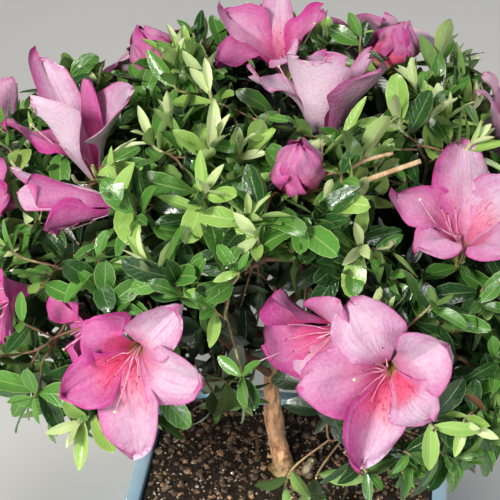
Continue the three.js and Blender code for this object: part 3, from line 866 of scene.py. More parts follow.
old_bark = bark_material("old_bark", (0.27, 0.11, 0.045), (0.72, 0.41, 0.22), (0.62, 0.45, 0.3), 0.7)
grey_bark = bark_material("grey_bark", (0.16, 0.12, 0.085), (0.42, 0.33, 0.24), (0.33, 0.28, 0.22), 0.8)
young_bark = bark_material("young_bark", (0.11, 0.045, 0.028), (0.26, 0.12, 0.07), (0.17, 0.1, 0.075))
trunk_stops = [Vector(stop) * MM for stop in TRUNK_STOPS]
trunk_mesh, trunk_path = barked_limb("trunk", trunk_stops, TRUNK_RADII, upright=True, swelling=trunk_swelling)
bark_trunk = piece_from(trunk_mesh, "bark_trunk", old_bark)
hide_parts("trunk")
stub_stops = [stop * MM for stop in (STUB_FOOT, STUB_KNEE, STUB_TOP)]
stub_mesh, _ = barked_limb("stub", stub_stops, STUB_RADII, upright=True)
bark_stub = piece_from(stub_mesh, "bark_stub", grey_bark)
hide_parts("stub")
limb_pieces = [bark_trunk, bark_stub]
limb_paths = [trunk_path]
bough_ends = {}
for name, around, up, leaves_at in MASSES:
    if name == "crown_top":
        continue
    foot = trunk_size(leaves_at) * BOUGH["foot_share"]
    shape, path = bough_bmesh(bough_stops(around, up, leaves_at), foot)
    bough = piece_from(shape, "bark_bough_" + name, young_bark)
    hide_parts("bough_" + name)
    limb_pieces.append(bough)
    limb_paths.append(path)
    bough_ends[name] = (path[-1], path[-1] - path[-3], foot * BOUGH["tip_share"])
for piece in limb_pieces:
    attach(piece, "root")
limb_points = np.concatenate(limb_paths)
print("limbs", len(limb_pieces), "points along them", len(limb_points))

# %% [markdown]
# Each bloom has a place on the dome, a facing, a size across in millimetres and a roll about its own
# axis. The ones that show best were fitted to the photograph, so they stand up to 30 mm from their
# plain solids. They also name their lobes, since no two lobes of a ruffled azalea bloom open alike.

# %% Blooms
BLOOMS = named_rows("name place face size roll", [
    ("low_left", (-19.2, 14.3), (-6, 16), 74, 8),
    ("low_right", (22.9, 15.6), (2, 22), 78, 40),
    ("behind", (12.8, 20.7), (-38, 6), 72, 0, {"share": 0.84}),
    ("right", (52.3, 44), (15, 78), 76, 20),
    ("top", (-172, 70), (-30, 66), 72, 30, {"opening": 0.85}),
    ("top_front", (121.6, 80.1), (180, 75), 84, 0,
     {"share": 0.92, "opening": 0.66, "bell": 0.8, "flare": 1.7}),
    ("left_top", (-71.3, 53.6), (-100, 74), 78, 50, {"opening": 0.66, "bell": 1.0, "flare": 1.8}),
    ("left_mid", (-43.5, 45), (-80, 8), 60, 10, {"opening": 0.6, "bell": 1.1, "flare": 1.8}),
    ("far_left", (-70.1, 28.2), (-66, 16), 48, 0, {"pink": 1.0}),
    ("left_edge", (-48.5, 15.4), (-60, 0), 52, 30, {"pink": 1.0}),
    ("left_low", (-36.6, 10.8), (-60, 0), 44, 55, {"share": 0.86, "pink": 1.0}),
    ("right_edge", (106, 45), (96, 36), 62, 0),
    ("right_side", (86, 12), (92, 14), 72, 15),
    ("right_rear", (128, 20), (134, 20), 66, 40),
    ("rear_high", (164, 36), (168, 30), 74, 0),
    ("rear_low", (-170, 8), (-174, 10), 70, 60),
    ("left_rear", (-140, 38), (-142, 36), 68, 20),
    ("left_side", (-112, 10), (-108, 12), 72, 0),
    ("front_bud", (13, 64), (10, 76), 34, 0, {"bud": True, "pink": 0.85}),
    ("rear_bud", (150, 52), (146, 50), 34, 0, {"bud": True, "pink": 0.8}),
    ("left_bud", (-130, 56), (-132, 50), 32, 0, {"bud": True, "pink": 0.8}),
])
BLOOM_DEPTH = 0.42
SEEN_BLOOMS = {"low_left": 0.44, "low_right": 0.42, "behind": 0.34, "right": 0.4, "top": 0.38,
               "top_front": 0.22, "front_bud": 0.42, "left_top": 0.2, "left_mid": 0.12}
TRUNK_SIGHT = {"heights": range(66, 100, 6), "room": 9 * MM}
STALK_SHARE = 0.06
FACE_SINK = -0.1


def across_axis(axis):
    helper = Vector((1, 0, 0)) if abs(axis.z) > 0.9 else UP
    return helper.cross(axis).normalized()


def set_out_bloom(bloom):
    """Adds a bloom's axis, middle, root and turning matrix to its values."""
    axis = direction(*bloom["face"])
    size = bloom["size"] * MM
    middle = crown_point(*bloom["place"], bloom.get("share", 1.0))
    across = Matrix.Rotation(math.radians(bloom["roll"]), 3, axis) @ across_axis(axis)
    root = middle - axis * size * BLOOM_DEPTH
    return {**bloom, "axis": axis, "size": size, "middle": middle, "root": root,
            "turned": Matrix((across, axis.cross(across), axis)).transposed(),
            "mass": nearest_mass(root)}


blooms = [set_out_bloom(bloom) for bloom in BLOOMS]
print("blooms", len(blooms))

# %% [markdown]
# Shoots are spaced evenly over the dome: a spiral winds down it in golden-angle steps and places a
# tip each time enough area has passed. Some tips stand out further and some lie deeper, and an inner
# layer of shoots fills the crown's shade, as on the real shrub, where old leaves hang on inside. A few
# shoots that show well have a place of their own, and five low ones hang near the trunk.

# %% Shoot tips
SPIRAL_TURN = 137.508
SHOOTS = {"count": 620, "seed": 11, "jitter": 4.0, "outer": 1.07, "deepest": 0.8, "power": 1.5}
INNER_SHOOTS = {"count": 400, "seed": 12, "jitter": 8.0, "outer": 0.8, "deepest": 0.55, "power": 1.0}
SHOWN_SHOOTS = [
    (28, 4, 1.06, "fresh"), (15.5, 3, 1.03, "outer"), (7, -16, 1.0, "outer"), (37, -5, 1.05, "outer"),
    (34, 10, 1.05, "outer"), (42, -16, 1.0, "outer"), (26, -16, 1.0, "outer"), (38, -20, 1.0, "outer"),
    (20, -13, 1.0, "outer"), (48, -17, 1.0, "fresh"), (-45, -18, 1.0, "outer"), (-29, -13, 1.0, "fresh"),
    (-38, -17, 1.0, "fresh"), (-32, 36, 1.0, "outer"), (-38, 35, 1.06, "fresh"), (-39, 16, 1.05, "outer"),
    (-41, 63, 1.08, "fresh"), (-47, 77, 1.1, "fresh"), (-46, 57, 1.12, "fresh"), (45, 74, 1.08, "fresh"),
    (64, 68, 1.08, "fresh"), (39, 65, 1.06, "outer"), (11, 51, 1.0, "outer"), (42, 28, 1.04, "outer"),
    (15.6, 70.5, 1.05, "outer"), (23.5, 68.7, 1.08, "outer"), (36, 69.7, 1.06, "fresh"),
    (-47, 52.8, 1.08, "fresh"), (-43, 56.1, 1.1, "fresh"), (-51, 48.6, 1.05, "outer"),
    (-36.3, 49.5, 1.05, "fresh"), (-53, 43.6, 1.0, "outer"),
]
LOW_SHOOTS = [(3, -65, 106), (-28, -45, 150), (-36, -46, 140), (-21, -38, 146), (18, -48, 92)]
SHOWN_ROOM = 11 * MM
FUNNEL_RISE = [0.02, 0.27, 0.42, 0.95]
FUNNEL_REACH = [0.05, 0.2, 0.58, 0.58]
DOME_BANDS = 4000


def spread_tips(count, seed, jitter, outer, deepest, power):
    """Degrees around and up, and the share of the dome's reach, of tips spaced evenly by area."""
    draw = random.Random(seed)
    lowest = math.sin(math.radians(SKIRT["lowest"]))
    width = (CROWN_REACH.x + CROWN_REACH.y) / 2
    rises = 1 - (np.arange(DOME_BANDS) + 0.5) / DOME_BANDS * (1 - lowest)
    passed = np.cumsum(np.hypot(rises / CROWN_REACH.z, np.sqrt(1 - rises ** 2) / width))
    tips = []
    for k in range(count):
        band = int(np.searchsorted(passed, (k + 0.5) * passed[-1] / count))
        around = (k * SPIRAL_TURN) % 360 - 180 + draw.uniform(-jitter, jitter)
        up = math.degrees(math.asin(rises[band])) + draw.uniform(-jitter, jitter)
        tips.append((around, up, outer - (outer - deepest) * draw.random() ** power))
    return tips


def hides_a_bloom(points):
    """True where a point of a leaf is inside a bloom's funnel or close over its face."""
    for bloom in blooms:
        off = points - np.array(bloom["root"])
        rise = off @ np.array(bloom["axis"]) / bloom["size"]
        aside = np.linalg.norm(off - np.outer(rise * bloom["size"], bloom["axis"]), axis=1) / bloom["size"]
        open_here = np.interp(rise, FUNNEL_RISE, FUNNEL_REACH)
        if np.any((rise > FUNNEL_RISE[0]) & (rise < FUNNEL_RISE[-1]) & (aside < open_here)):
            return True
    return False


def before_the_eye(points, place, room, start):
    """True where a point stands between the camera and a place, within room of the line of sight."""
    sight = np.array(CAMERA_PLACE) - place
    sight /= np.linalg.norm(sight)
    near = (points - place) @ sight
    aside = np.linalg.norm(points - place - np.outer(near, sight), axis=1)
    return bool(np.any((near > start) & (aside < room)))


def hides_a_sight(points):
    """True where a point would hide a bloom's face, the stub or the trunk's foot from the camera."""
    for bloom in blooms:
        room = SEEN_BLOOMS.get(bloom["name"], 0) * bloom["size"]
        if room and before_the_eye(points, np.array(bloom["middle"]), room, FACE_SINK * bloom["size"]):
            return True
    sights = [STUB_TOP * MM] + [trunk_point(height) for height in TRUNK_SIGHT["heights"]]
    return any(before_the_eye(points, np.array(sight), TRUNK_SIGHT["room"], 0) for sight in sights)


def all_tips():
    shown = [(crown_point(around, up, share), layer) for around, up, share, layer in SHOWN_SHOOTS]
    shown += [(Vector(place) * MM, "low") for place in LOW_SHOOTS]
    found = list(shown)
    for layer, values in (("outer", SHOOTS), ("inner", INNER_SHOOTS)):
        for around, up, share in spread_tips(**values):
            place = crown_point(around, up, share)
            crowded = any((place - other).length < SHOWN_ROOM for other, _ in shown)
            spot = np.array([place])
            if up > skirt_angle(around) and not (crowded or hides_a_bloom(spot) or hides_a_sight(spot)):
                found.append((place, layer))
    kept = [{"place": place, "layer": layer, "bloom": None, "mass": nearest_mass(place)}
            for place, layer in found]
    for bloom in blooms:
        stalk = bloom["root"] + bloom["axis"] * bloom["size"] * STALK_SHARE
        kept.append({"place": stalk, "layer": "flower", "bloom": bloom, "mass": bloom["mass"]})
    return kept


tips = all_tips()
print("shoot tips", len(tips))

# %% [markdown]
# Twigs fork by one rule. The tips of a mass are halved across the line between two of its furthest
# tips; a twig grows part of the way to the middle of the group and forks there. The first half keeps
# the twig, the other starts a new one, and so on until one tip is left. A twig's thickness follows
# the number of tips that it carries. A last stretch that would cross a bloom's face is cut back.

# %% Twigs
TWIG = {"radius": 0.62, "growth": 0.36, "root_share": 0.75, "fork_share": 0.42, "wander": 2.2, "stem": 13,
        "bend": 0.35, "longest_bend": 14 * MM, "knee": 1.1, "end": 0.85,
        "sunk": 0.6 * MM, "foot": 0.98, "hub": 0.82}
TOP_RADIUS = 2.1
SHOOT_LIFT = 0.55
SHOOT_LEAN = 0.34
TWIG_STEPS = 5
YOUNG_RINGS = 8
FLUSH = {"outer": 0.34, "fresh": 2.0}
SHADE_FLUSH = 0.3
FLUSH_STEM = 2.0
SUNLIT = {"low": 225 * MM, "high": 300 * MM}


def split_tips(group):
    places = np.array([tip["place"] for tip in group])
    middle = places.mean(axis=0)
    first = places[np.argmax(np.linalg.norm(places - middle, axis=1))]
    line = places[np.argmax(np.linalg.norm(places - first, axis=1))] - first
    order = np.argsort(places @ line, kind="stable")
    half = math.ceil(len(group) / 2)
    return middle, [group[k] for k in order[:half]], [group[k] for k in order[half:]]


def grow_twigs(stops, group, draw, twigs):
    if len(group) == 1:
        tip = group[0]
        twigs.append({"stops": stops + [(np.array(tip["place"]), TWIG["radius"])], "tip": tip})
        return
    middle, kept, other = split_tips(group)
    fork = stops[-1][0] + (middle - stops[-1][0]) * TWIG["fork_share"]
    fork = fork + np.array([draw.uniform(-1, 1) for _ in range(3)]) * TWIG["wander"] * MM
    thick = [TWIG["radius"] * len(half) ** TWIG["growth"] for half in (kept, other)]
    grow_twigs(stops + [(fork, thick[0])], kept, draw, twigs)
    grow_twigs([(fork, thick[1] * TWIG["root_share"])], other, draw, twigs)


def shoot_axis(tip, before):
    """The way a shoot's end points: outward from the crown, along its twig, and up to the light."""
    outward = by_reach(tip - CROWN_CENTRE, 2).normalized()
    along = (tip - before).normalized()
    return (outward + along + UP * SHOOT_LIFT).normalized()


def mass_twigs(index, name):
    draw = random.Random(100 + index)
    top = (trunk_path[-1], trunk_path[-1] - trunk_path[-3], TOP_RADIUS)
    foot, along, radius = bough_ends.get(name, top)
    along = along / np.linalg.norm(along)
    start = (foot - along * TWIG["sunk"], radius * TWIG["foot"])
    hub = (foot + along * TWIG["stem"] * MM, radius * TWIG["hub"])
    twigs = []
    grow_twigs([start, hub], [tip for tip in tips if tip["mass"] == index], draw, twigs)
    return twigs


def finish_twig(twig, draw):
    """Smooths a twig's route, turns its end towards the light and settles whether it is flushing."""
    stops = twig["stops"]
    tip, before = Vector(stops[-1][0]), Vector(stops[-2][0])
    bloom = twig["tip"]["bloom"]
    lean = Vector([draw.gauss(0, SHOOT_LEAN) for _ in range(3)])
    upright = shoot_axis(tip, before)
    axis = bloom["axis"] if bloom else (upright + lean).normalized()
    sunlit = float(np.interp(tip.z, (SUNLIT["low"], SUNLIT["high"]), (0, 1)))
    flush = draw.random() < FLUSH.get(twig["tip"]["layer"], 0) * (SHADE_FLUSH + sunlit)
    reach = (tip - before).length
    bend = np.array(tip - (axis if bloom else upright) * min(TWIG["bend"] * reach, TWIG["longest_bend"]))
    places = [stop[0] for stop in stops[:-1]] + [bend, np.array(tip)]
    sizes = [stop[1] for stop in stops[:-1]] + [TWIG["radius"] * TWIG[part] for part in ("knee", "end")]
    path, radii = smooth_path(places, sizes, TWIG_STEPS)
    last = path[-2 * TWIG_STEPS:]
    hidden = bloom is None and len(stops) > 2 and (hides_a_sight(last) or hides_a_bloom(last))
    if hidden:
        path, radii = path[:-2 * TWIG_STEPS], radii[:-2 * TWIG_STEPS]
    elif flush:
        radii[-YOUNG_RINGS:] *= np.linspace(1, FLUSH_STEM, YOUNG_RINGS)
    return {**twig, "path": path, "radii": radii * MM, "axis": axis, "bare": hidden,
            "flush": flush, "sunlit": sunlit}


shoot_draw = random.Random(71)
twigs = [finish_twig(twig, shoot_draw)
         for index, mass in enumerate(MASSES) for twig in mass_twigs(index, mass[0])]
print("twigs", len(twigs))

# %% [markdown]
# A few leaves hang in the crown's shade between the low blooms and the trunk. Their shoots start on
# the nearest twig and are added last, so the draws of every other shoot stay the same.

# %% Shaded shoots
# Their leaves are of the inner layer, so they are painted nearly black: painted shade between the low blooms
# and the trunk.
SHADED_SHOOTS = named_rows("tip axis", [
    ((-43, 0, 125), (-0.15, -0.6, -0.6)),
    ((-34, 4, 130), (0.2, -0.55, -0.6)),
    ((-38, 8, 140), (0.0, -0.7, -0.3)),
    ((-50, 7, 143), (0.1, -0.6, -0.6)),
    ((-26, 15, 134), (-0.1, -0.5, -0.7)),
])


def nearest_twig_point(place):
    long_enough = [twig["path"] for twig in twigs if len(twig["path"]) > YOUNG_RINGS]
    points = np.concatenate([path[:-YOUNG_RINGS] for path in long_enough])
    return Vector(points[np.argmin(np.linalg.norm(points - np.array(place), axis=1))])


def shaded_shoot(tip, axis):
    end, axis = Vector(tip) * MM, Vector(axis).normalized()
    start = nearest_twig_point(end)
    bend = end - axis * TWIG["bend"] * (end - start).length
    path, radii = smooth_path([start, bend, end], [TWIG["radius"]] * 3, TWIG_STEPS)
    print("shaded shoot", round((end - start).length / MM), "mm")
    return {"path": path, "radii": radii * MM, "axis": axis, "bare": False, "flush": False, "sunlit": 0.0,
            "tip": {"layer": "inner", "bloom": None}}


twigs += [shaded_shoot(**shoot) for shoot in SHADED_SHOOTS]

# %% [markdown]
# Twig bark is too fine to model, so a twig is a five-sided tube with a material of its own: older
# wood grey-brown, the last stretch a ruddy young brown with pale hairs.

# %% Twig meshes
TWIG_SIDES = 5


def add_tube(gathered, path, radii, sides, values=()):
    _, across, beside = carried_frames(path)
    turns = np.linspace(0, math.tau, sides, endpoint=False)
    spokes = across[:, None] * np.cos(turns)[None, :, None] + beside[:, None] * np.sin(turns)[None, :, None]
    points = (path[:, None] + spokes * radii[:, None, None]).reshape(-1, 3)
    ring = np.arange(len(path) - 1)[:, None] * sides
    side = np.arange(sides)[None, :]
    after = (side + 1) % sides
    quads = np.stack([ring + side, ring + after, ring + after + sides, ring + side + sides], axis=2)
    local = np.stack(np.broadcast_arrays(turns[None, :] / math.tau,
                                         np.linspace(0, 1, len(path))[:, None]), axis=2)
    gathered.add(points, quads.reshape(-1, 4), local.reshape(-1, 2), values)


def twig_material(name, dark, light, fresh):
    material, tree, surface = start_material(name, 0.72)
    place = object_place(tree)
    wood = mix_colours(tree, mottled(tree, place, 320.0, 4.0, 0.25), dark, light)
    colour_surface(tree, surface, mix_colours(tree, attribute(tree, "tint"), wood, fresh))
    bump(tree, surface, cloud_noise(tree, place, 1400.0, 3.0), 0.6, 0.0004)
    return material


def twig_meshes():
    old_wood, new_wood = Gathering("tint"), Gathering("tint")
    draw = random.Random(21)
    for twig in twigs:
        last = max(2, len(twig["path"]) - YOUNG_RINGS)
        path, radii = twig["path"], twig["radii"]
        add_tube(old_wood, path[:last + 1], radii[:last + 1], TWIG_SIDES, [draw.uniform(0, 0.5)])
        tint = draw.uniform(0.7, 1) if twig["flush"] else draw.uniform(0, 0.4)
        add_tube(new_wood, path[last:], radii[last:], TWIG_SIDES, [tint])
    old_bark_look = twig_material("old_twig_bark", (0.1, 0.04, 0.022), (0.3, 0.15, 0.08), (0.46, 0.3, 0.18))
    new_bark_look = twig_material("new_twig_bark", (0.3, 0.16, 0.07), (0.45, 0.36, 0.16), (0.56, 0.6, 0.32))
    return old_wood.join("old_twigs", old_bark_look), new_wood.join("new_twigs", new_bark_look)


foliage_nodes = ["foliage_" + mass[0] for mass in MASSES]
for piece in twig_meshes():
    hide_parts(*foliage_nodes)
    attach(piece, "root")

# %% [markdown]
# Two stout twigs near the top were cut back and end in bare tan wood. Each starts on the nearest
# living twig. One thin grey twig has fallen on the soil.

# %% Cut and fallen twigs
CUT_TWIGS = named_rows("from to radius", [
    ((33.5, 55.6, 0.92), (50.9, 58.9, 1.08), 1.5),
    ((35.7, 60.7, 0.95), (46.5, 62.6, 1.06), 1.15),
])
CUT_TWIG_ARCH = 1.5 * MM
FALLEN_TWIG = {"stops": [(36, 15), (33.5, -7), (31.5, -24), (26, -43)], "radius": 0.7, "above": 1.3}


def bare_twig(name, stops, radius, material):
    shape, _ = barked_limb("bare", stops, np.linspace(radius, 0.8 * radius, len(stops)))
    return piece_from(shape, name, material)


tan_wood = bark_material("tan_wood", (0.5, 0.3, 0.14), (0.78, 0.56, 0.34), (0.68, 0.5, 0.33))
for number, cut in enumerate(CUT_TWIGS):
    end = crown_point(*cut["to"])
    start = nearest_twig_point(crown_point(*cut["from"]))
    knee = start.lerp(end, 0.4) + UP * CUT_TWIG_ARCH
    piece = bare_twig(f"cut_twig_{number + 1}", [start, knee, end], cut["radius"], tan_wood)
    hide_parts("foliage_" + MASSES[nearest_mass(end)][0])
    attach(piece, "root")
laid = [Vector((x, y, soil_height(x * MM, y * MM) / MM + FALLEN_TWIG["above"])) * MM
        for x, y in FALLEN_TWIG["stops"]]
fallen = bare_twig("fallen_twig", laid, FALLEN_TWIG["radius"], grey_bark)
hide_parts("soil")
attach(fallen, "root")
print("bare twigs", len(CUT_TWIGS) + 1)

# %% [markdown]
# A leaf of this plant is 15 to 30 mm long and widest at or a little past the middle. It is folded
# softly along a pale midrib, and most curve back towards the point. Its half width is the share of its
# length so far to one power, times the share still to come to another, so two powers make an oval, a
# spoon or a round leaf. Each shape is a grid whose rows lie closer together where the outline turns.

# %% Leaf shapes
LEAF_COLUMNS = 4
LEAF_ROWS = 7
LEAF_FORMS = named_rows("half base end fold curve wave twist", [
    (0.19, 0.85, 0.74, 0.3, 0.08, 0.012, 0.05),
    (0.215, 0.95, 0.62, 0.18, 0.2, 0.02, -0.1),
    (0.17, 0.8, 0.8, 0.4, 0.14, 0.01, 0.12),
    (0.235, 0.9, 0.54, 0.12, 0.3, 0.025, 0.0),
    (0.2, 1.0, 0.64, 0.26, -0.06, 0.018, 0.08),
    (0.165, 0.9, 0.84, 0.45, 0.02, 0.012, -0.12),
    (0.13, 0.85, 0.85, 0.6, -0.04, 0.01, 0.06),
    (0.145, 0.9, 0.8, 0.5, 0.1, 0.012, -0.08),
])
FORMS_OF_A_KIND = {"young": (6, 8), "fresh": (2, 8)}
OTHER_FORMS = (0, 6)
STALK_HALF = 0.02
EDGE_WAVE = {"along": 9, "across": 2}
TWIST_AT_TIP = 2
TWIST_LEAN = 0.3
CURVE_SHORTENS = 0.25


def leaf_shape(half, base, end, fold, curve, wave, twist):
    """A leaf one unit long: it starts at the origin, points along Y and faces Z."""
    across, along, quads = grid_template(LEAF_COLUMNS, LEAF_ROWS)
    along = (1 - np.cos(math.pi * along)) / 2
    widest = base / (base + end)
    most = widest ** base * (1 - widest) ** end
    belly = half * along ** base * np.clip(1 - along, 0, 1) ** end / most
    x = across * np.maximum(belly, STALK_HALF * (1 - along))
    waves = np.sin(along * EDGE_WAVE["along"] + across * EDGE_WAVE["across"])
    z = fold * np.abs(x) - curve * along ** 2 + wave * waves * np.abs(across)
    angle = twist * along * TWIST_AT_TIP
    y = along * (1 - CURVE_SHORTENS * abs(curve) * along)
    points = np.stack([x * np.cos(angle) - z * np.sin(angle) * TWIST_LEAN, y, z + x * np.sin(angle)], axis=1)
    return points, quads, np.stack([(across + 1) / 2, along], axis=1)


leaf_shapes = [leaf_shape(**form) for form in LEAF_FORMS]
print("faces in a leaf", len(leaf_shapes[0][1]))

# %% [markdown]
# The leaves of a shoot stand in a close spiral. The youngest, at the tip, are short, pale and
# upright; those below open wide, are the longest, and are darker. A leaf is skipped where it would
# run into a limb or a bloom, hide a bloom's face or the trunk's foot, or stand out of the crown.

# %% Leaf places
LEAF_KINDS = ("shade", "old", "grown", "fresh", "young", "russet")
WHORL = {"length": 28, "first": 0.3, "step": 1.1, "spread": 4.5, "below_bloom": 2.5, "jitter": 20,
         "roll": 24, "turn_jitter": 9, "lean": 1.15, "face_up": 0.45, "sizes": (0.78, 1.06),
         "opens_by": 1.25, "opening_power": 0.8, "grows_by": 2.6}
LAYERS = {
    "outer": {"leaves": (9, 13), "scale": (0.7, 1.14)},
    "fresh": {"leaves": (10, 13), "scale": (0.95, 1.15)},
    "inner": {"leaves": (6, 8), "scale": (0.8, 1.08)},
    "low": {"leaves": (6, 8), "scale": (0.85, 1.0)},
    "flower": {"leaves": (6, 8), "scale": (0.8, 1.0)},
}
OPENING = {"young": (12, 64), "grown": (36, 56), "flower": (74, 24)}
GROWN_SHARE = {"young": (0.66, 0.34), "grown": (0.5, 0.5)}
AGES = {"young": 0.3, "fresh": 0.7, "grown": 0.45}
RUSSET_CHANCE = 0.004
# Lighter kinds are likelier high up and dark old ones low down, partly as painted light from above.
FRESH_CHANCE = {"shade": 0.05, "sun": 0.25}
OLD_CHANCE = {"shade": 0.85, "sun": -0.42}
SHOOT_TINT = 0.55
LEAF_WIDTHS = (0.9, 1.12)
LIMB_ROOM = 5.5 * MM
BOX_ROOM = 14 * MM


def point_back(path, back):
    """The point a given distance back along a path from its end, and the direction there."""
    for k in range(len(path) - 1, 0, -1):
        step = path[k] - path[k - 1]
        length = float(np.linalg.norm(step))
        if back <= length:
            return path[k] - step * (back / length), step / length
        back -= length
    return path[0], (path[1] - path[0]) / np.linalg.norm(path[1] - path[0])


def leaf_stations(twig, draw):
    """Where each leaf of a shoot springs from, which way it points and faces, and its length."""
    layer = LAYERS[twig["tip"]["layer"]]
    count = draw.randint(*layer["leaves"])
    vigour = draw.uniform(*layer["scale"])
    sunlit, flush = twig["sunlit"], twig["flush"]
    age = "young" if flush else "grown"
    start = draw.uniform(0, 360)
    flower = twig["tip"]["bloom"] is not None
    for k in range(count):
        share = k / (count - 1)
        back = WHORL["first"] + k * WHORL["step"] + WHORL["spread"] * share ** 2
        back = (back + (WHORL["below_bloom"] if flower else 0)) * MM
        place, stem = point_back(twig["path"], back)
        axis = (Vector(stem) * share + twig["axis"] * (WHORL["lean"] - share)).normalized()
        first, change = OPENING["flower" if flower else age]
        opened = min(1, share * WHORL["opens_by"]) ** WHORL["opening_power"]
        opening = first + change * (share if flower else opened)
        opening = math.radians(opening + draw.uniform(-WHORL["jitter"], WHORL["jitter"]))
        turn = start + k * SPIRAL_TURN + draw.uniform(-WHORL["turn_jitter"], WHORL["turn_jitter"])
        outward = Matrix.Rotation(math.radians(turn), 3, axis) @ across_axis(axis)
        along = axis * math.cos(opening) + outward * math.sin(opening)
        face = axis + UP * WHORL["face_up"]
        face = (face - along * face.dot(along)).normalized()
        face = Matrix.Rotation(math.radians(draw.gauss(0, WHORL["roll"])), 3, along) @ face
        least, more = GROWN_SHARE[age]
        grown = least + more * min(1, share * WHORL["grows_by"])
        length = WHORL["length"] * vigour * grown * draw.uniform(*WHORL["sizes"]) * MM
        yield Vector(place), along, face, length, leaf_kind(twig["tip"]["layer"], share, flush, sunlit, draw)


def leaf_kind(layer, share, flush, sunlit, draw):
    """A leaf's kind: the newest are palest, and those high up are more often lighter than those below, partly
    as the leaves' own colour and partly as painted light from above.
    """
    chance = draw.random()
    # Inner leaves take the nearly black shade kind, which is painted shade for the inside of the crown.
    if layer == "inner":
        return "shade"
    if flush and share < AGES["fresh"]:
        return "young" if share < AGES["young"] else "fresh"
    if chance < RUSSET_CHANCE:
        return "russet"
    if share < AGES["grown"]:
        return "fresh" if chance < FRESH_CHANCE["shade"] + FRESH_CHANCE["sun"] * sunlit else "grown"
    return "old" if chance < OLD_CHANCE["shade"] + OLD_CHANCE["sun"] * sunlit else "grown"


def fits_the_box(points):
    low, high = (np.array(corner) for corner in cad_box)
    return bool(np.all(points > low - BOX_ROOM) and np.all(points < high + BOX_ROOM))


def place_leaves():
    kinds = {name: Gathering("tint", bake_cells=True) for name in LEAF_KINDS}
    draw = random.Random(31)
    skipped = 0
    for twig in [twig for twig in twigs if not twig["bare"]]:
        shoot_tint = draw.random()
        for root, along, face, length, kind in leaf_stations(twig, draw):
            points, quads, local = leaf_shapes[draw.randrange(*FORMS_OF_A_KIND.get(kind, OTHER_FORMS))]
            turned = Matrix((along.cross(face), along, face)).transposed()
            scale = length * np.array((draw.uniform(*LEAF_WIDTHS), 1, 1))
            tint = SHOOT_TINT * shoot_tint + (1 - SHOOT_TINT) * draw.random()
            placed = (points * scale) @ np.array(turned).T + np.array(root)
            middle = placed.mean(axis=0)
            probes = np.stack([middle, placed[-1], (middle + placed[-1]) / 2])
            by_a_limb = np.linalg.norm(limb_points - middle, axis=1).min() < LIMB_ROOM
            if by_a_limb or not fits_the_box(probes) or hides_a_bloom(probes) or hides_a_sight(probes):
                skipped += 1
                continue
            kinds[kind].add(placed, quads, local, [tint])
    print("leaves skipped", skipped)
    return kinds


leaf_kinds = place_leaves()

# %% [markdown]
# Leaves inside the crown are painted nearly black-green, a painted shade for the crown's inside; old ones
# are a dark glossy green, grown ones mid green, fresh ones lighter, and the newest yellow-green; a few old
# ones turn russet. Every one has a pale midrib with a few side veins, a thin lighter margin that is a
# painted highlight along the edge, and short white hairs whose flecks are partly painted glints. One node
# group draws midrib, veins, margin and hairs from the leaf's own coordinates, so five values make each
# material.

# %% Leaf materials
# The shade row is nearly black: painted shade. The young row's light end is very pale, partly the shoots' own
# colour and partly a painted highlight.
LEAF_LOOKS = dict(zip(LEAF_KINDS, named_rows("dark light rib under shine", [
    ((0.003, 0.012, 0.004), (0.012, 0.042, 0.009), (0.05, 0.1, 0.03), (0.05, 0.09, 0.03), 0.32),
    ((0.004, 0.024, 0.007), (0.028, 0.115, 0.02), (0.22, 0.36, 0.12), (0.15, 0.26, 0.08), 0.21),
    ((0.022, 0.115, 0.014), (0.125, 0.345, 0.048), (0.4, 0.56, 0.18), (0.25, 0.4, 0.12), 0.24),
    ((0.17, 0.38, 0.055), (0.43, 0.65, 0.15), (0.6, 0.72, 0.3), (0.46, 0.6, 0.24), 0.3),
    ((0.42, 0.58, 0.17), (0.75, 0.84, 0.48), (0.75, 0.8, 0.5), (0.56, 0.64, 0.33), 0.38),
    ((0.07, 0.026, 0.014), (0.2, 0.08, 0.035), (0.3, 0.16, 0.08), (0.2, 0.12, 0.07), 0.36),
])))
# Pale flecks for the leaf hairs, which also serve as painted glints on the blade.
HAIR_AND_GLINT = (0.66, 0.72, 0.62)


def make_blade():
    """Midrib, veins, margin and hairs of a leaf from its own coordinates; the margin is a painted highlight
    and the hair flecks are partly painted glints.
    """
    group, given, out = new_group(
        "blade",
        [("Local", "NodeSocketVector", None), ("Tint", "NodeSocketFloat", 0.5)],
        [("Rib", "NodeSocketFloat"), ("Veins", "NodeSocketFloat"), ("Margin", "NodeSocketFloat"),
         ("Hairs_and_glints", "NodeSocketFloat")])
    parts = parts_of(group, given.outputs["Local"])
    aside = math_node(group, "ABSOLUTE", minus(group, parts["X"], 0.5))
    slant = minus(group, parts["Y"], times(group, aside, 0.5))
    wave = math_node(group, "SINE", times(group, slant, 46.0))
    moved = add_node(group, "ShaderNodeCombineXYZ", {
        "X": times(group, parts["X"], 0.42), "Y": parts["Y"], "Z": times(group, given.outputs["Tint"], 9.0)})
    found = {"Rib": smooth_step(group, aside, 0.045, 0.015), "Veins": smooth_step(group, wave, 0.62, 0.98),
             "Margin": smooth_step(group, aside, 0.44, 0.49),
             "Hairs_and_glints": flecked(group, moved.outputs["Vector"], 70.0, 0.2, 0.55)}
    for name, value in found.items():
        group.links.new(value, out.inputs[name])
    return group


BLADE = make_blade()


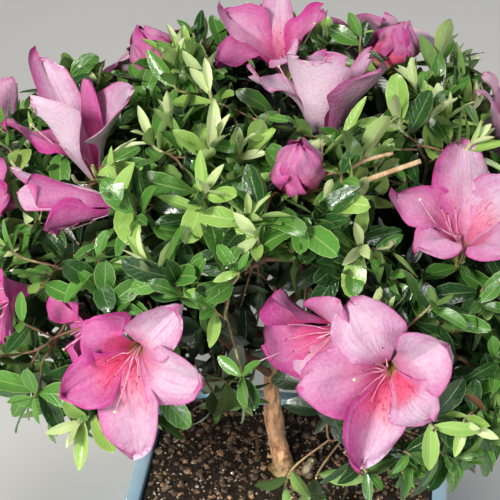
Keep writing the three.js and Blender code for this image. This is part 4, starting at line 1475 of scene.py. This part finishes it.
def leaf_material(name, dark, light, rib, under, shine):
    material, tree, surface = start_material(name, shine, Specular_IOR_Level=0.75)
    local = add_node(tree, "ShaderNodeUVMap", uv_map="local").outputs["UV"]
    tint = attribute(tree, "tint")
    blade = use_group(tree, BLADE, Local=local, Tint=tint).outputs
    cloud = mottled(tree, object_place(tree), 90.0, 2.0, 0.35)
    tone = plus(tree, times(tree, tint, 0.75), times(tree, cloud, 0.25))
    colour = mix_colours(tree, tone, dark, light)
    # The lighter margin is a painted highlight along the leaf's edge, and the pale hair flecks are partly
    # painted glints.
    for mark, strength, coat in (("Veins", 0.07, rib), ("Rib", 0.52, rib), ("Margin", 0.6, rib),
                                 ("Hairs_and_glints", 0.4, HAIR_AND_GLINT)):
        colour = lay_over(tree, colour, blade[mark], strength, coat)
    below = add_node(tree, "ShaderNodeNewGeometry").outputs["Backfacing"]
    colour_surface(tree, surface, lay_over(tree, colour, below, 0.7, under))
    pressed = plus(tree, times(tree, blade["Veins"], -0.28), times(tree, blade["Rib"], -1.0))
    pores = cloud_noise(tree, object_place(tree), 620.0, 2.0)
    bump(tree, surface, plus(tree, pressed, times(tree, pores, 0.8)), 0.5, 0.0004)
    return material


for kind, gathered in leaf_kinds.items():
    leaves = gathered.join(kind + "_leaves", leaf_material(kind + "_leaf", **LEAF_LOOKS[kind]))
    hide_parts(*foliage_nodes)
    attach(leaves, "root")

# %% [markdown]
# A bloom is a funnel of five lobes that are one tube at the base. Each lobe is a grid: along it runs
# the funnel's profile, across it an arc that spreads until it laps over its neighbour, and then an
# outline that closes at the tip. Ruffles grow towards the edges, small crumples cross the lobe, a
# crease runs down the middle, and every lobe is lifted, folded or curled a little differently. Front
# and back are two layers that meet at the margin, so the petal is a closed skin. All of it is worked
# out as a radius, an angle and a rise for a bloom one unit across, and then turned into place.

# %% Lobes
LOBE_COLUMNS = 14
LOBE_ROWS = 18
PETAL_THICK = 0.5 * MM
FUSED_ANGLE = 37.0
LOBE_ANGLE = 47.0
CRUMPLES = 5
LOBES = 5
LOBE_RANGES = {"turn": (-6, 6), "length": (0.9, 1.12), "width": (0.19, 0.24), "lift": (-0.06, 0.12),
               "tip": (0.45, 0.75), "ruffle": (0.02, 0.045), "curl": (-0.03, 0.06)}
FOLDS = (0, 0, 0, 0.1)
PINK_RANGE, SIDE_RANGE = (0.05, 0.7), (-0.3, 0.3)
CLOSES_FROM = 0.6
BLOTCH_TURN, BLOTCH_POWER = 90, 1.5
CRUMPLE_RANGES = [(-9, 9), (5, 14), (0, math.tau), (0.002, 0.0045)]
ROWS_TO_THE_TIP = 1.3
SKIN = {"across": 6, "along": 8}
FLARE_POWER = 3.1
BELL_POWER = 1.35
THROAT = 0.012
MOUTH = 0.5
FREE_SPAN = (0.32, 0.7)
LIFT_SPAN = (0.4, 1.05)
CURL_SPAN = (0.8, 1.0)
WAVE_SPAN = (0.75, 1.0)
FUSED_UP_TO = 0.36
CLOSED_RISE = 0.6
LOBE_TILT = 0.02
LOBE_CREASE = {"depth": 0.02, "width": 0.14}
EDGE_RUFFLES = [(1.0, 1.7, 11, 1, 1.5), (0.3, 3, 27, 2, 0)]
EDGE_WAVES = [(0.035, 7, 1), (0.018, 17, 3)]
BUD = {"radius": 0.31, "overlap": 0.045, "half_angle": 66, "twist": 0.6, "lean": 0.04, "waves": 4,
       "crumple": 22, "crumple_scale": (0.8, 0.9), "reach": (0.86, 0.14), "egg": (0.95, 0.03, 0.55),
       "rise": (0.02, 0.96)}
BUD_FOLDS = [(0.1, 3, 4, 1), (0.075, 8, 9, 2), (0.05, -5, 17, 3)]
LOBE_FIELDS = "turn length width lift tip pink blotch"
# A lobe's pink is the depth of its colour and side deepens one half of it: partly the lobe's own colour and
# partly painted shade on lobes and halves that lie in shade.
NAMED_LOBES = {name: named_rows(LOBE_FIELDS, rows) for name, rows in {
    "low_left": [
        (215, 1.02, 0.18, 0.0, 0.8, 1.0, 1.0),
        (277, 1.34, 0.22, -0.05, 0.55, 0.25, 0.8, {"side": -0.35}),
        (350, 1.02, 0.23, -0.03, 0.36, 0.12, 0.35),
        (52, 1.06, 0.17, -0.1, 0.42, 0.1, 0.25),
        (142, 0.72, 0.2, 0.0, 0.5, 1.0, 0.7, {"ruffle": 0.1}),
    ],
    "low_right": [
        (36, 0.82, 0.25, -0.03, 0.42, 0.1, 0.05),
        (119, 1.0, 0.26, -0.04, 0.42, 0.22, 0.0),
        (188, 1.06, 0.23, 0.04, 0.45, 0.7, 0.35),
        (256, 1.14, 0.19, -0.02, 0.7, 0.45, 0.9, {"side": -1.3, "hinge": 0.18}),
        (320, 0.72, 0.21, 0.0, 0.5, 0.12, 1.0),
    ],
    "behind": [
        (210, 1.03, 0.27, 0.0, 0.4, 1.0, 0.5, {"side": 0.1}),
        (264, 0.82, 0.19, 0.0, 0.5, 0.2, 0.3),
        (341, 0.66, 0.19, 0.0, 0.5, 0.4, 0.3),
        (66, 0.89, 0.2, 0.0, 0.5, 0.6, 0.3),
        (122, 0.8, 0.12, 0.12, 0.7, 0.95, 0.8, {"fold": 0.2}),
    ],
    "right": [
        (246, 1.02, 0.2, 0.0, 0.5, 0.8, 0.4, {"side": -0.2}),
        (184, 1.36, 0.21, 0.05, 0.62, 0.3, 0.3, {"side": 0.6}),
        (128, 1.15, 0.24, 0.0, 0.5, 0.0, 0.6),
        (52, 0.74, 0.2, 0.0, 0.6, 0.5, 0.6),
        (312, 0.76, 0.2, -0.02, 0.6, 0.6, 0.2),
    ],
    "top": [
        (236, 1.1, 0.17, 0.0, 0.55, 0.6, 0.2, {"side": -0.3}),
        (180, 1.12, 0.14, 0.02, 0.8, 0.2, 0.5),
        (119, 1.02, 0.12, 0.0, 0.7, 0.95, 0.2),
        (40, 0.62, 0.18, -0.08, 0.6, 0.3, 0.1),
        (298, 1.05, 0.18, -0.06, 0.5, 1.0, 0.1),
    ],
    "top_front": [
        (325, 0.86, 0.28, 0.05, 0.36, 0.0, 0.0, {"angle": 84, "start": 0.2}),
        (50, 1.3, 0.22, 0.0, 0.8, 0.55, 0.2),
        (118, 0.85, 0.13, 0.0, 0.8, 0.3, 0.3),
        (188, 0.62, 0.19, -0.04, 0.5, 0.05, 0.3),
        (270, 1.45, 0.16, -0.17, 0.6, 0.0, 0.0),
    ],
    "left_top": [
        (262, 1.6, 0.11, -0.04, 0.5, 0.85, 0.1, {"ruffle": 0.1}),
        (215, 1.05, 0.13, 0.22, 0.45, 0.2, 0.1, {"side": 0.6}),
        (152, 0.7, 0.08, 0.2, 0.5, 1.0, 0.3, {"curl": 0.12}),
        (92, 1.3, 0.3, 0.04, 0.42, 0.0, 0.0, {"angle": 72}),
        (320, 0.78, 0.22, 0.08, 0.5, 0.0, 0.0, {"angle": 74, "start": 0.3}),
    ],
    "left_mid": [
        (335, 0.95, 0.26, 0.1, 0.5, 1.0, 0.0, {"angle": 70, "start": 0.3}),
        (275, 0.95, 0.2, 0.02, 0.5, 0.9, 0.0),
        (200, 0.68, 0.2, 0.4, 0.5, 0.3, 0.3),
        (130, 0.8, 0.2, 0.4, 0.5, 0.2, 0.3),
        (60, 0.8, 0.22, 0.3, 0.5, 0.9, 0.2),
    ],
}.items()}


def rise_between(value, low, high):
    share = np.clip((value - low) / (high - low), 0, 1)
    return share * share * (3 - 2 * share)


def open_lobes(bloom, draw):
    """The five lobes of an open bloom: named ones, or evenly turned ones with small changes."""
    named = NAMED_LOBES.get(bloom["name"])
    lobes = []
    for k in range(LOBES):
        turn = 360 / LOBES * (k + 0.5) + bloom["roll"]
        lobe = {name: draw.uniform(*ends) for name, ends in LOBE_RANGES.items()}
        lobe["turn"] += turn
        lobe.update({"fold": draw.choice(FOLDS), "phase": draw.uniform(0, math.tau), "tint": draw.random(),
                     "pink": draw.uniform(*PINK_RANGE), "side": draw.uniform(*SIDE_RANGE),
                     "angle": LOBE_ANGLE, "start": CLOSES_FROM, "hinge": 0.0,
                     "blotch": max(0.0, math.cos(math.radians(turn - BLOTCH_TURN))) ** BLOTCH_POWER})
        lobe["crumples"] = [[draw.uniform(*ends) for ends in CRUMPLE_RANGES] for _ in range(CRUMPLES)]
        lobe["pink"] = bloom.get("pink", lobe["pink"])
        lobe.update(named[k] if named else {})
        lobe["turn"] -= bloom["roll"]
        lobes.append(lobe)
    return lobes


def crumple(across, along, waves):
    return sum(height * np.sin(across * u + along * v + start) for u, v, start, height in waves)


def lobe_surface(across, along, bloom, lobe):
    """Points of one lobe in its bloom's own space, which faces Z."""
    opening, edge = bloom.get("opening", 1.0), np.abs(across)
    free = rise_between(along, *FREE_SPAN)
    radius = (THROAT + (MOUTH - THROAT) * along ** bloom.get("bell", BELL_POWER)) * opening
    radius *= 1 + (lobe["length"] - 1) * free
    flare = bloom.get("flare", FLARE_POWER)
    rise = BLOOM_DEPTH * (1 - (1 - along) ** flare) + (1 - opening) * CLOSED_RISE * along
    past = np.maximum(along - lobe["start"], 0) / (1 - lobe["start"])
    closing = np.clip(1 - past ** 2, 0, 1) ** lobe["tip"]
    half = np.arcsin(np.clip(lobe["width"] * closing / radius, 0, 1))
    widest = np.radians(FUSED_ANGLE + (lobe["angle"] - FUSED_ANGLE) * free)
    angle = across * np.where(along < FUSED_UP_TO, np.radians(FUSED_ANGLE), np.minimum(half, widest))
    rise += lobe["lift"] * rise_between(along, *LIFT_SPAN)
    rise += (LOBE_TILT * across + lobe["fold"] * edge + lobe["hinge"] * np.maximum(-across, 0)) * free
    for size, power, turns, phases, slant in EDGE_RUFFLES:
        wave = np.sin(along * turns + lobe["phase"] * phases + across * slant)
        rise += size * lobe["ruffle"] * edge ** power * free * wave
    crease = np.exp(-(across / LOBE_CREASE["width"]) ** 2) * np.sin(math.pi * along)
    rise += (crumple(across, along, lobe["crumples"]) - LOBE_CREASE["depth"] * crease) * free
    rise -= lobe["curl"] * (edge ** 2 + rise_between(along, *CURL_SPAN)) * free
    wavy = sum(size * np.sin(across * turns + lobe["phase"] * phases) for size, turns, phases in EDGE_WAVES)
    radius = radius * (1 + wavy * rise_between(along, *WAVE_SPAN))
    return radius, angle, rise


def bud_surface(across, along, bloom, lobe):
    """A lobe of a crumpled bud: it wraps round an egg and closes over its tip."""
    reach = BUD["reach"][0] + BUD["reach"][1] * lobe["tint"]
    part, shift, power = BUD["egg"]
    egg = np.sin(math.pi * np.clip(along * part + shift, 0, 1)) ** power
    wide, tall = BUD["crumple_scale"]
    folds = crumple(across * wide, along * tall, lobe["crumples"]) * BUD["crumple"]
    for size, aside, up, phases in BUD_FOLDS:
        folds += size * np.sin(across * aside + along * up + lobe["phase"] * phases)
    radius = egg * (BUD["radius"] * (1 + folds) + BUD["overlap"] * across)
    angle = across * math.radians(BUD["half_angle"])
    angle += BUD["twist"] * np.sin(along * BUD["waves"] + lobe["phase"]) * along
    rise = (BUD["rise"][0] + BUD["rise"][1] * along) * reach
    rise += BUD["lean"] * np.sin(across * BUD["waves"] + lobe["phase"]) * along ** 2
    return radius, angle, rise


def surface_normals(points, quads):
    corners = points[quads]
    facing = np.cross(corners[:, 2] - corners[:, 0], corners[:, 3] - corners[:, 1])
    normals = np.zeros_like(points)
    for k in range(quads.shape[1]):
        np.add.at(normals, quads[:, k], facing)
    return normals / np.maximum(np.linalg.norm(normals, axis=1), 1e-12)[:, None]


def add_lobe(gathered, bloom, lobe):
    across, along, quads = grid_template(LOBE_COLUMNS, LOBE_ROWS)
    along = 1 - (1 - along) ** ROWS_TO_THE_TIP
    shape = bud_surface if bloom.get("bud") else lobe_surface
    radius, angle, rise = shape(across, along, bloom, lobe)
    angle = angle + math.radians(lobe["turn"])
    flat = np.stack([radius * np.cos(angle), radius * np.sin(angle), rise], axis=1) * bloom["size"]
    points = flat @ np.array(bloom["turned"]).T + np.array(bloom["root"])
    normals = surface_normals(points, quads)
    if np.mean(normals @ np.array(bloom["axis"])) < 0 and not bloom.get("bud"):
        normals = -normals
        quads = quads[:, ::-1]
    body = (1 - np.abs(across) ** SKIN["across"]) * (1 - along ** SKIN["along"]) * PETAL_THICK
    local = np.stack([(across + 1) / 2, along], axis=1)
    # deep is the lobe's pink, deepened towards one side: partly its own colour and partly painted shade.
    deep = np.clip(lobe["pink"] + lobe["side"] * across, 0, 1)
    for side, back in ((1, 0.0), (-1, 1.0)):
        gathered.add(points + side * normals * (body / 2)[:, None], quads[:, ::side], local,
                     [lobe["tint"], lobe["blotch"], back, deep])


# %% [markdown]
# Petal colour: pale pink in the middle of a lobe, stronger lilac-pink towards the edges and over the
# deeper lobes, a fine magenta line on the very margin, and a yellow-green throat. A lobe's depth of
# colour is partly its own and partly painted shade where the lobe or one half of it lies in shade, and
# the backs are painted paler than the fronts, a painted light on their shaded outsides. Rose-red lines
# run out of the throat, and the blotched lobes carry rows of rose-red dashes over a red flush. Soft
# clouds and crinkles break all of it up, as on thin ruffled petals.

# %% Petal material
# back is paler than pale: the backs' own pale colour with painted light added on their shaded outsides.
PETAL_LOOK = {
    "pale": (0.67, 0.52, 0.645), "pink": (0.57, 0.2, 0.42), "deep": (0.5, 0.024, 0.25),
    "margin": (0.54, 0.05, 0.28), "back": (0.88, 0.68, 0.81), "throat": (0.6, 0.47, 0.17),
    "dashes": (0.47, 0.01, 0.06), "blush": (0.72, 0.075, 0.17),
}


def fan_noise(tree, parts, tint, across, along):
    """Noise drawn out along a lobe: across and along are how often it changes each way."""
    place = add_node(tree, "ShaderNodeCombineXYZ", {
        "X": times(tree, parts["X"], across), "Y": times(tree, parts["Y"], along),
        "Z": times(tree, tint, 20.0)})
    return cloud_noise(tree, place.outputs["Vector"], 1.0, 2.0)


def petal_material():
    look = PETAL_LOOK
    material, tree, surface = start_material("lilac_petal", 0.55, Specular_IOR_Level=0.3)
    place = object_place(tree)
    parts = parts_of(tree, add_node(tree, "ShaderNodeUVMap", uv_map="local").outputs["UV"])
    tint, blotch, back, deep = (attribute(tree, name) for name in ("tint", "blotch", "back", "deep"))
    aside = times(tree, math_node(tree, "ABSOLUTE", minus(tree, parts["X"], 0.5)), 2.0)
    along = parts["Y"]
    front = minus(tree, 1.0, back)

    middle = times(tree, smooth_step(tree, aside, 1.0, 0.25), smooth_step(tree, along, 0.25, 0.55))
    crinkle = mottled(tree, place, 620.0, 3.0, 0.3)
    light = plus(tree, times(tree, middle, 0.55), times(tree, mottled(tree, place, 150.0, 3.0, 0.22), 0.3))
    light = plus(tree, light, times(tree, crinkle, 0.42))
    colour = mix_colours(tree, light, look["pink"], look["pale"])
    # The deep colour is partly the lobe's own and partly painted shade on lobes and halves that lie in shade.
    deeper = times(tree, deep, minus(tree, 1.0, times(tree, light, 0.25)))
    colour = mix_colours(tree, deeper, colour, look["deep"])
    veins = fan_noise(tree, parts, tint, 26.0, 1.6)
    colour = lay_over(tree, colour, smooth_step(tree, veins, 0.5, 0.7), 0.55, look["pink"])
    sides, end = smooth_step(tree, aside, 0.9, 1.0), smooth_step(tree, along, 0.965, 1.0)
    colour = lay_over(tree, colour, math_node(tree, "MAXIMUM", sides, end), 0.75, look["margin"])
    # Backs are mixed towards a colour paler than the fronts, painted light on the shaded outsides.
    paler = math_node(tree, "MAXIMUM", times(tree, back, minus(tree, 0.6, deeper)), 0.0)
    colour = mix_colours(tree, paler, colour, look["back"])

    lines = smooth_step(tree, fan_noise(tree, parts, tint, 40.0, 0.8), 0.56, 0.66)
    near = times(tree, smooth_step(tree, along, 0.62, 0.2), front)
    colour = lay_over(tree, colour, times(tree, lines, near), 0.6, look["blush"])
    window = times(tree, smooth_step(tree, along, 0.74, 0.36), smooth_step(tree, aside, 1.0, 0.5))
    marked = times(tree, times(tree, window, blotch), front)
    colour = lay_over(tree, colour, marked, 0.85, look["blush"])
    dashes = smooth_step(tree, fan_noise(tree, parts, tint, 22.0, 15.0), 0.56, 0.64)
    colour = lay_over(tree, colour, dashes, marked, look["dashes"])
    colour = mix_colours(tree, smooth_step(tree, along, 0.2, 0.08), colour, look["throat"])
    colour_surface(tree, surface, colour)
    bump(tree, surface, times(tree, plus(tree, veins, crinkle), 0.6), 0.5, 0.0007)
    return material


def make_petals():
    gathered = Gathering("tint", "blotch", "back", "deep", bake_cells=True)
    draw = random.Random(41)
    for bloom in blooms:
        for lobe in open_lobes(bloom, draw):
            add_lobe(gathered, bloom, lobe)
    return gathered.join("petals", petal_material())


petals = make_petals()

# %% [markdown]
# Out of each throat come five pale pink stamens with dark anthers and one longer pistil with a
# round cream tip. Each is a thin curved tube; the anthers and stigmas are small rounded seeds.

# %% Stamens and pistils
STAMEN_SIDES = 5
STAMENS = {"count": 5, "radius": 0.3, "spread": 36, "reach": (0.09, 0.2), "rise": (0.36, 0.52), "sag": 0.03}
ANTHER = {"length": 2.1 * MM, "width": 1.1 * MM}
PISTIL = {"radius": 0.45, "turn": 270, "reach": 0.3, "rise": 0.56, "sag": 0.06}
STIGMA = {"length": 2.4 * MM, "width": 2.6 * MM}
STYLE_STOPS = {"root": (0.012, 0.05), "throat": (0.03, 0.24), "bend": (0.55, 0.72)}
STYLE_TAPER = [1.0, 1.0, 0.9, 0.7]
STYLE_STEPS = 5
STYLE_JITTER = {"stamen": 8, "pistil": 6}
STYLES = {"low_left": (268, 0.29), "low_right": (168, 0.2), "behind": (224, 0.5), "top": (95, 0.34)}


def plain_material(name, dark, light, roughness, scale=600.0, detail=2.0, contrast=0.3):
    material, tree, surface = start_material(name, roughness)
    cloud = mottled(tree, object_place(tree), scale, detail, contrast)
    colour_surface(tree, surface, mix_colours(tree, cloud, dark, light))
    return material


THREAD_LOOK = plain_material("pale_thread", (0.78, 0.28, 0.47), (0.88, 0.6, 0.7), 0.5)
ANTHER_LOOK = plain_material("dark_anther", (0.06, 0.015, 0.03), (0.16, 0.07, 0.07), 0.7)
STIGMA_LOOK = plain_material("cream_stigma", (0.75, 0.68, 0.42), (0.85, 0.8, 0.6), 0.4)


def style_path(bloom, turn, reach, rise, sag):
    """A route from the throat out over the lobes, bent up again at its end."""
    size = bloom["size"]
    out = Vector((math.cos(math.radians(turn)), math.sin(math.radians(turn)), 0))
    bend_out, bend_up = STYLE_STOPS["bend"]
    stops = [STYLE_STOPS["root"], STYLE_STOPS["throat"],
             (reach * bend_out, rise * bend_up - sag), (reach, rise)]
    placed = [bloom["turned"] @ ((out * away + UP * up) * size) + bloom["root"] for away, up in stops]
    return smooth_path(placed, STYLE_TAPER, STYLE_STEPS)


def add_seed(gathered, template, centre, along, length, width):
    points, faces = template
    turned = Vector(along).to_track_quat("Z", "Y").to_matrix()
    scale = Matrix.Diagonal((width, width, length))
    placed = points @ np.array(turned @ scale).T + np.array(centre)
    gathered.add(placed, faces, points[:, :2])


def make_styles():
    threads, anthers, stigmas = Gathering(), Gathering(), Gathering()
    seed = bit_template(2, False)
    draw = random.Random(51)
    jitter = STYLE_JITTER["stamen"]
    for bloom in [bloom for bloom in blooms if not bloom.get("bud")]:
        lean, reach = STYLES.get(bloom["name"], (PISTIL["turn"], PISTIL["reach"]))
        lean -= bloom["roll"]
        for k in range(STAMENS["count"]):
            turn = lean + (k - STAMENS["count"] // 2) * STAMENS["spread"] + draw.uniform(-jitter, jitter)
            out, rise = draw.uniform(*STAMENS["reach"]), draw.uniform(*STAMENS["rise"])
            path, share = style_path(bloom, turn, out, rise, STAMENS["sag"])
            add_tube(threads, path, share * STAMENS["radius"] * MM, STAMEN_SIDES)
            add_seed(anthers, seed, path[-1], path[-1] - path[-3], **ANTHER)
        turn = lean + draw.uniform(-STYLE_JITTER["pistil"], STYLE_JITTER["pistil"])
        path, share = style_path(bloom, turn, reach, PISTIL["rise"], PISTIL["sag"])
        add_tube(threads, path, share * PISTIL["radius"] * MM, STAMEN_SIDES)
        add_seed(stigmas, seed, path[-1], path[-1] - path[-3], **STIGMA)
    return [threads.join("stamen_threads", THREAD_LOOK), anthers.join("anthers", ANTHER_LOOK),
            stigmas.join("stigmas", STIGMA_LOOK)]


# %% [markdown]
# Under each bloom five small green sepals clasp the base of the funnel.

# %% Sepals
SEPAL = {"count": 5, "shape": 1, "length": 7.5, "sizes": (0.8, 1.1), "opening": 24, "jitter": 8}


def make_sepals():
    gathered = Gathering("tint")
    draw = random.Random(61)
    for bloom in blooms:
        for k in range(SEPAL["count"]):
            points, quads, local = leaf_shapes[SEPAL["shape"]]
            turn = 360 / SEPAL["count"] * k + draw.uniform(-SEPAL["jitter"], SEPAL["jitter"])
            turned = Matrix.Rotation(math.radians(turn), 3, bloom["axis"])
            outward = turned @ across_axis(bloom["axis"])
            opening = math.radians(SEPAL["opening"])
            along = bloom["axis"] * math.cos(opening) + outward * math.sin(opening)
            face = (bloom["axis"] - along * bloom["axis"].dot(along)).normalized()
            frame_here = Matrix((along.cross(face), along, face)).transposed()
            length = SEPAL["length"] * draw.uniform(*SEPAL["sizes"]) * MM
            placed = points * length @ np.array(frame_here).T + np.array(bloom["root"])
            gathered.add(placed, quads, local, [draw.random()])
    return gathered.join("sepals", leaf_material("sepal_green", **LEAF_LOOKS["young"]))


for piece in [petals, make_sepals()] + make_styles():
    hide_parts(*foliage_nodes)
    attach(piece, "root")

# %% [markdown]
# The floor is plain and pale. It belongs to the studio, not to the plant.

# %% Floor
FLOOR_SIZE = 6.0
FLOOR_HEIGHT = -0.5 * MM


def make_floor():
    bm = bmesh.new()
    bmesh.ops.create_grid(bm, x_segments=2, y_segments=2, size=FLOOR_SIZE / 2)
    pale = plain_material("pale_floor", (0.66, 0.66, 0.65), (0.7, 0.7, 0.69), 0.8, 3.0, 3.0, 0.4)
    return piece_from(bm, "floor", pale, smooth=False)


floor = make_floor()
floor.location.z = FLOOR_HEIGHT
floor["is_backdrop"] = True

# %% Sizes and finish
low, high = cad_box
new_low, new_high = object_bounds()
boxes = {"cad": [list(map(float, low)), list(map(float, high))],
         "visual": [list(map(float, new_low)), list(map(float, new_high))]}
print("cad", np.round(boxes["cad"], 3).tolist(), "visual", np.round(boxes["visual"], 3).tolist())
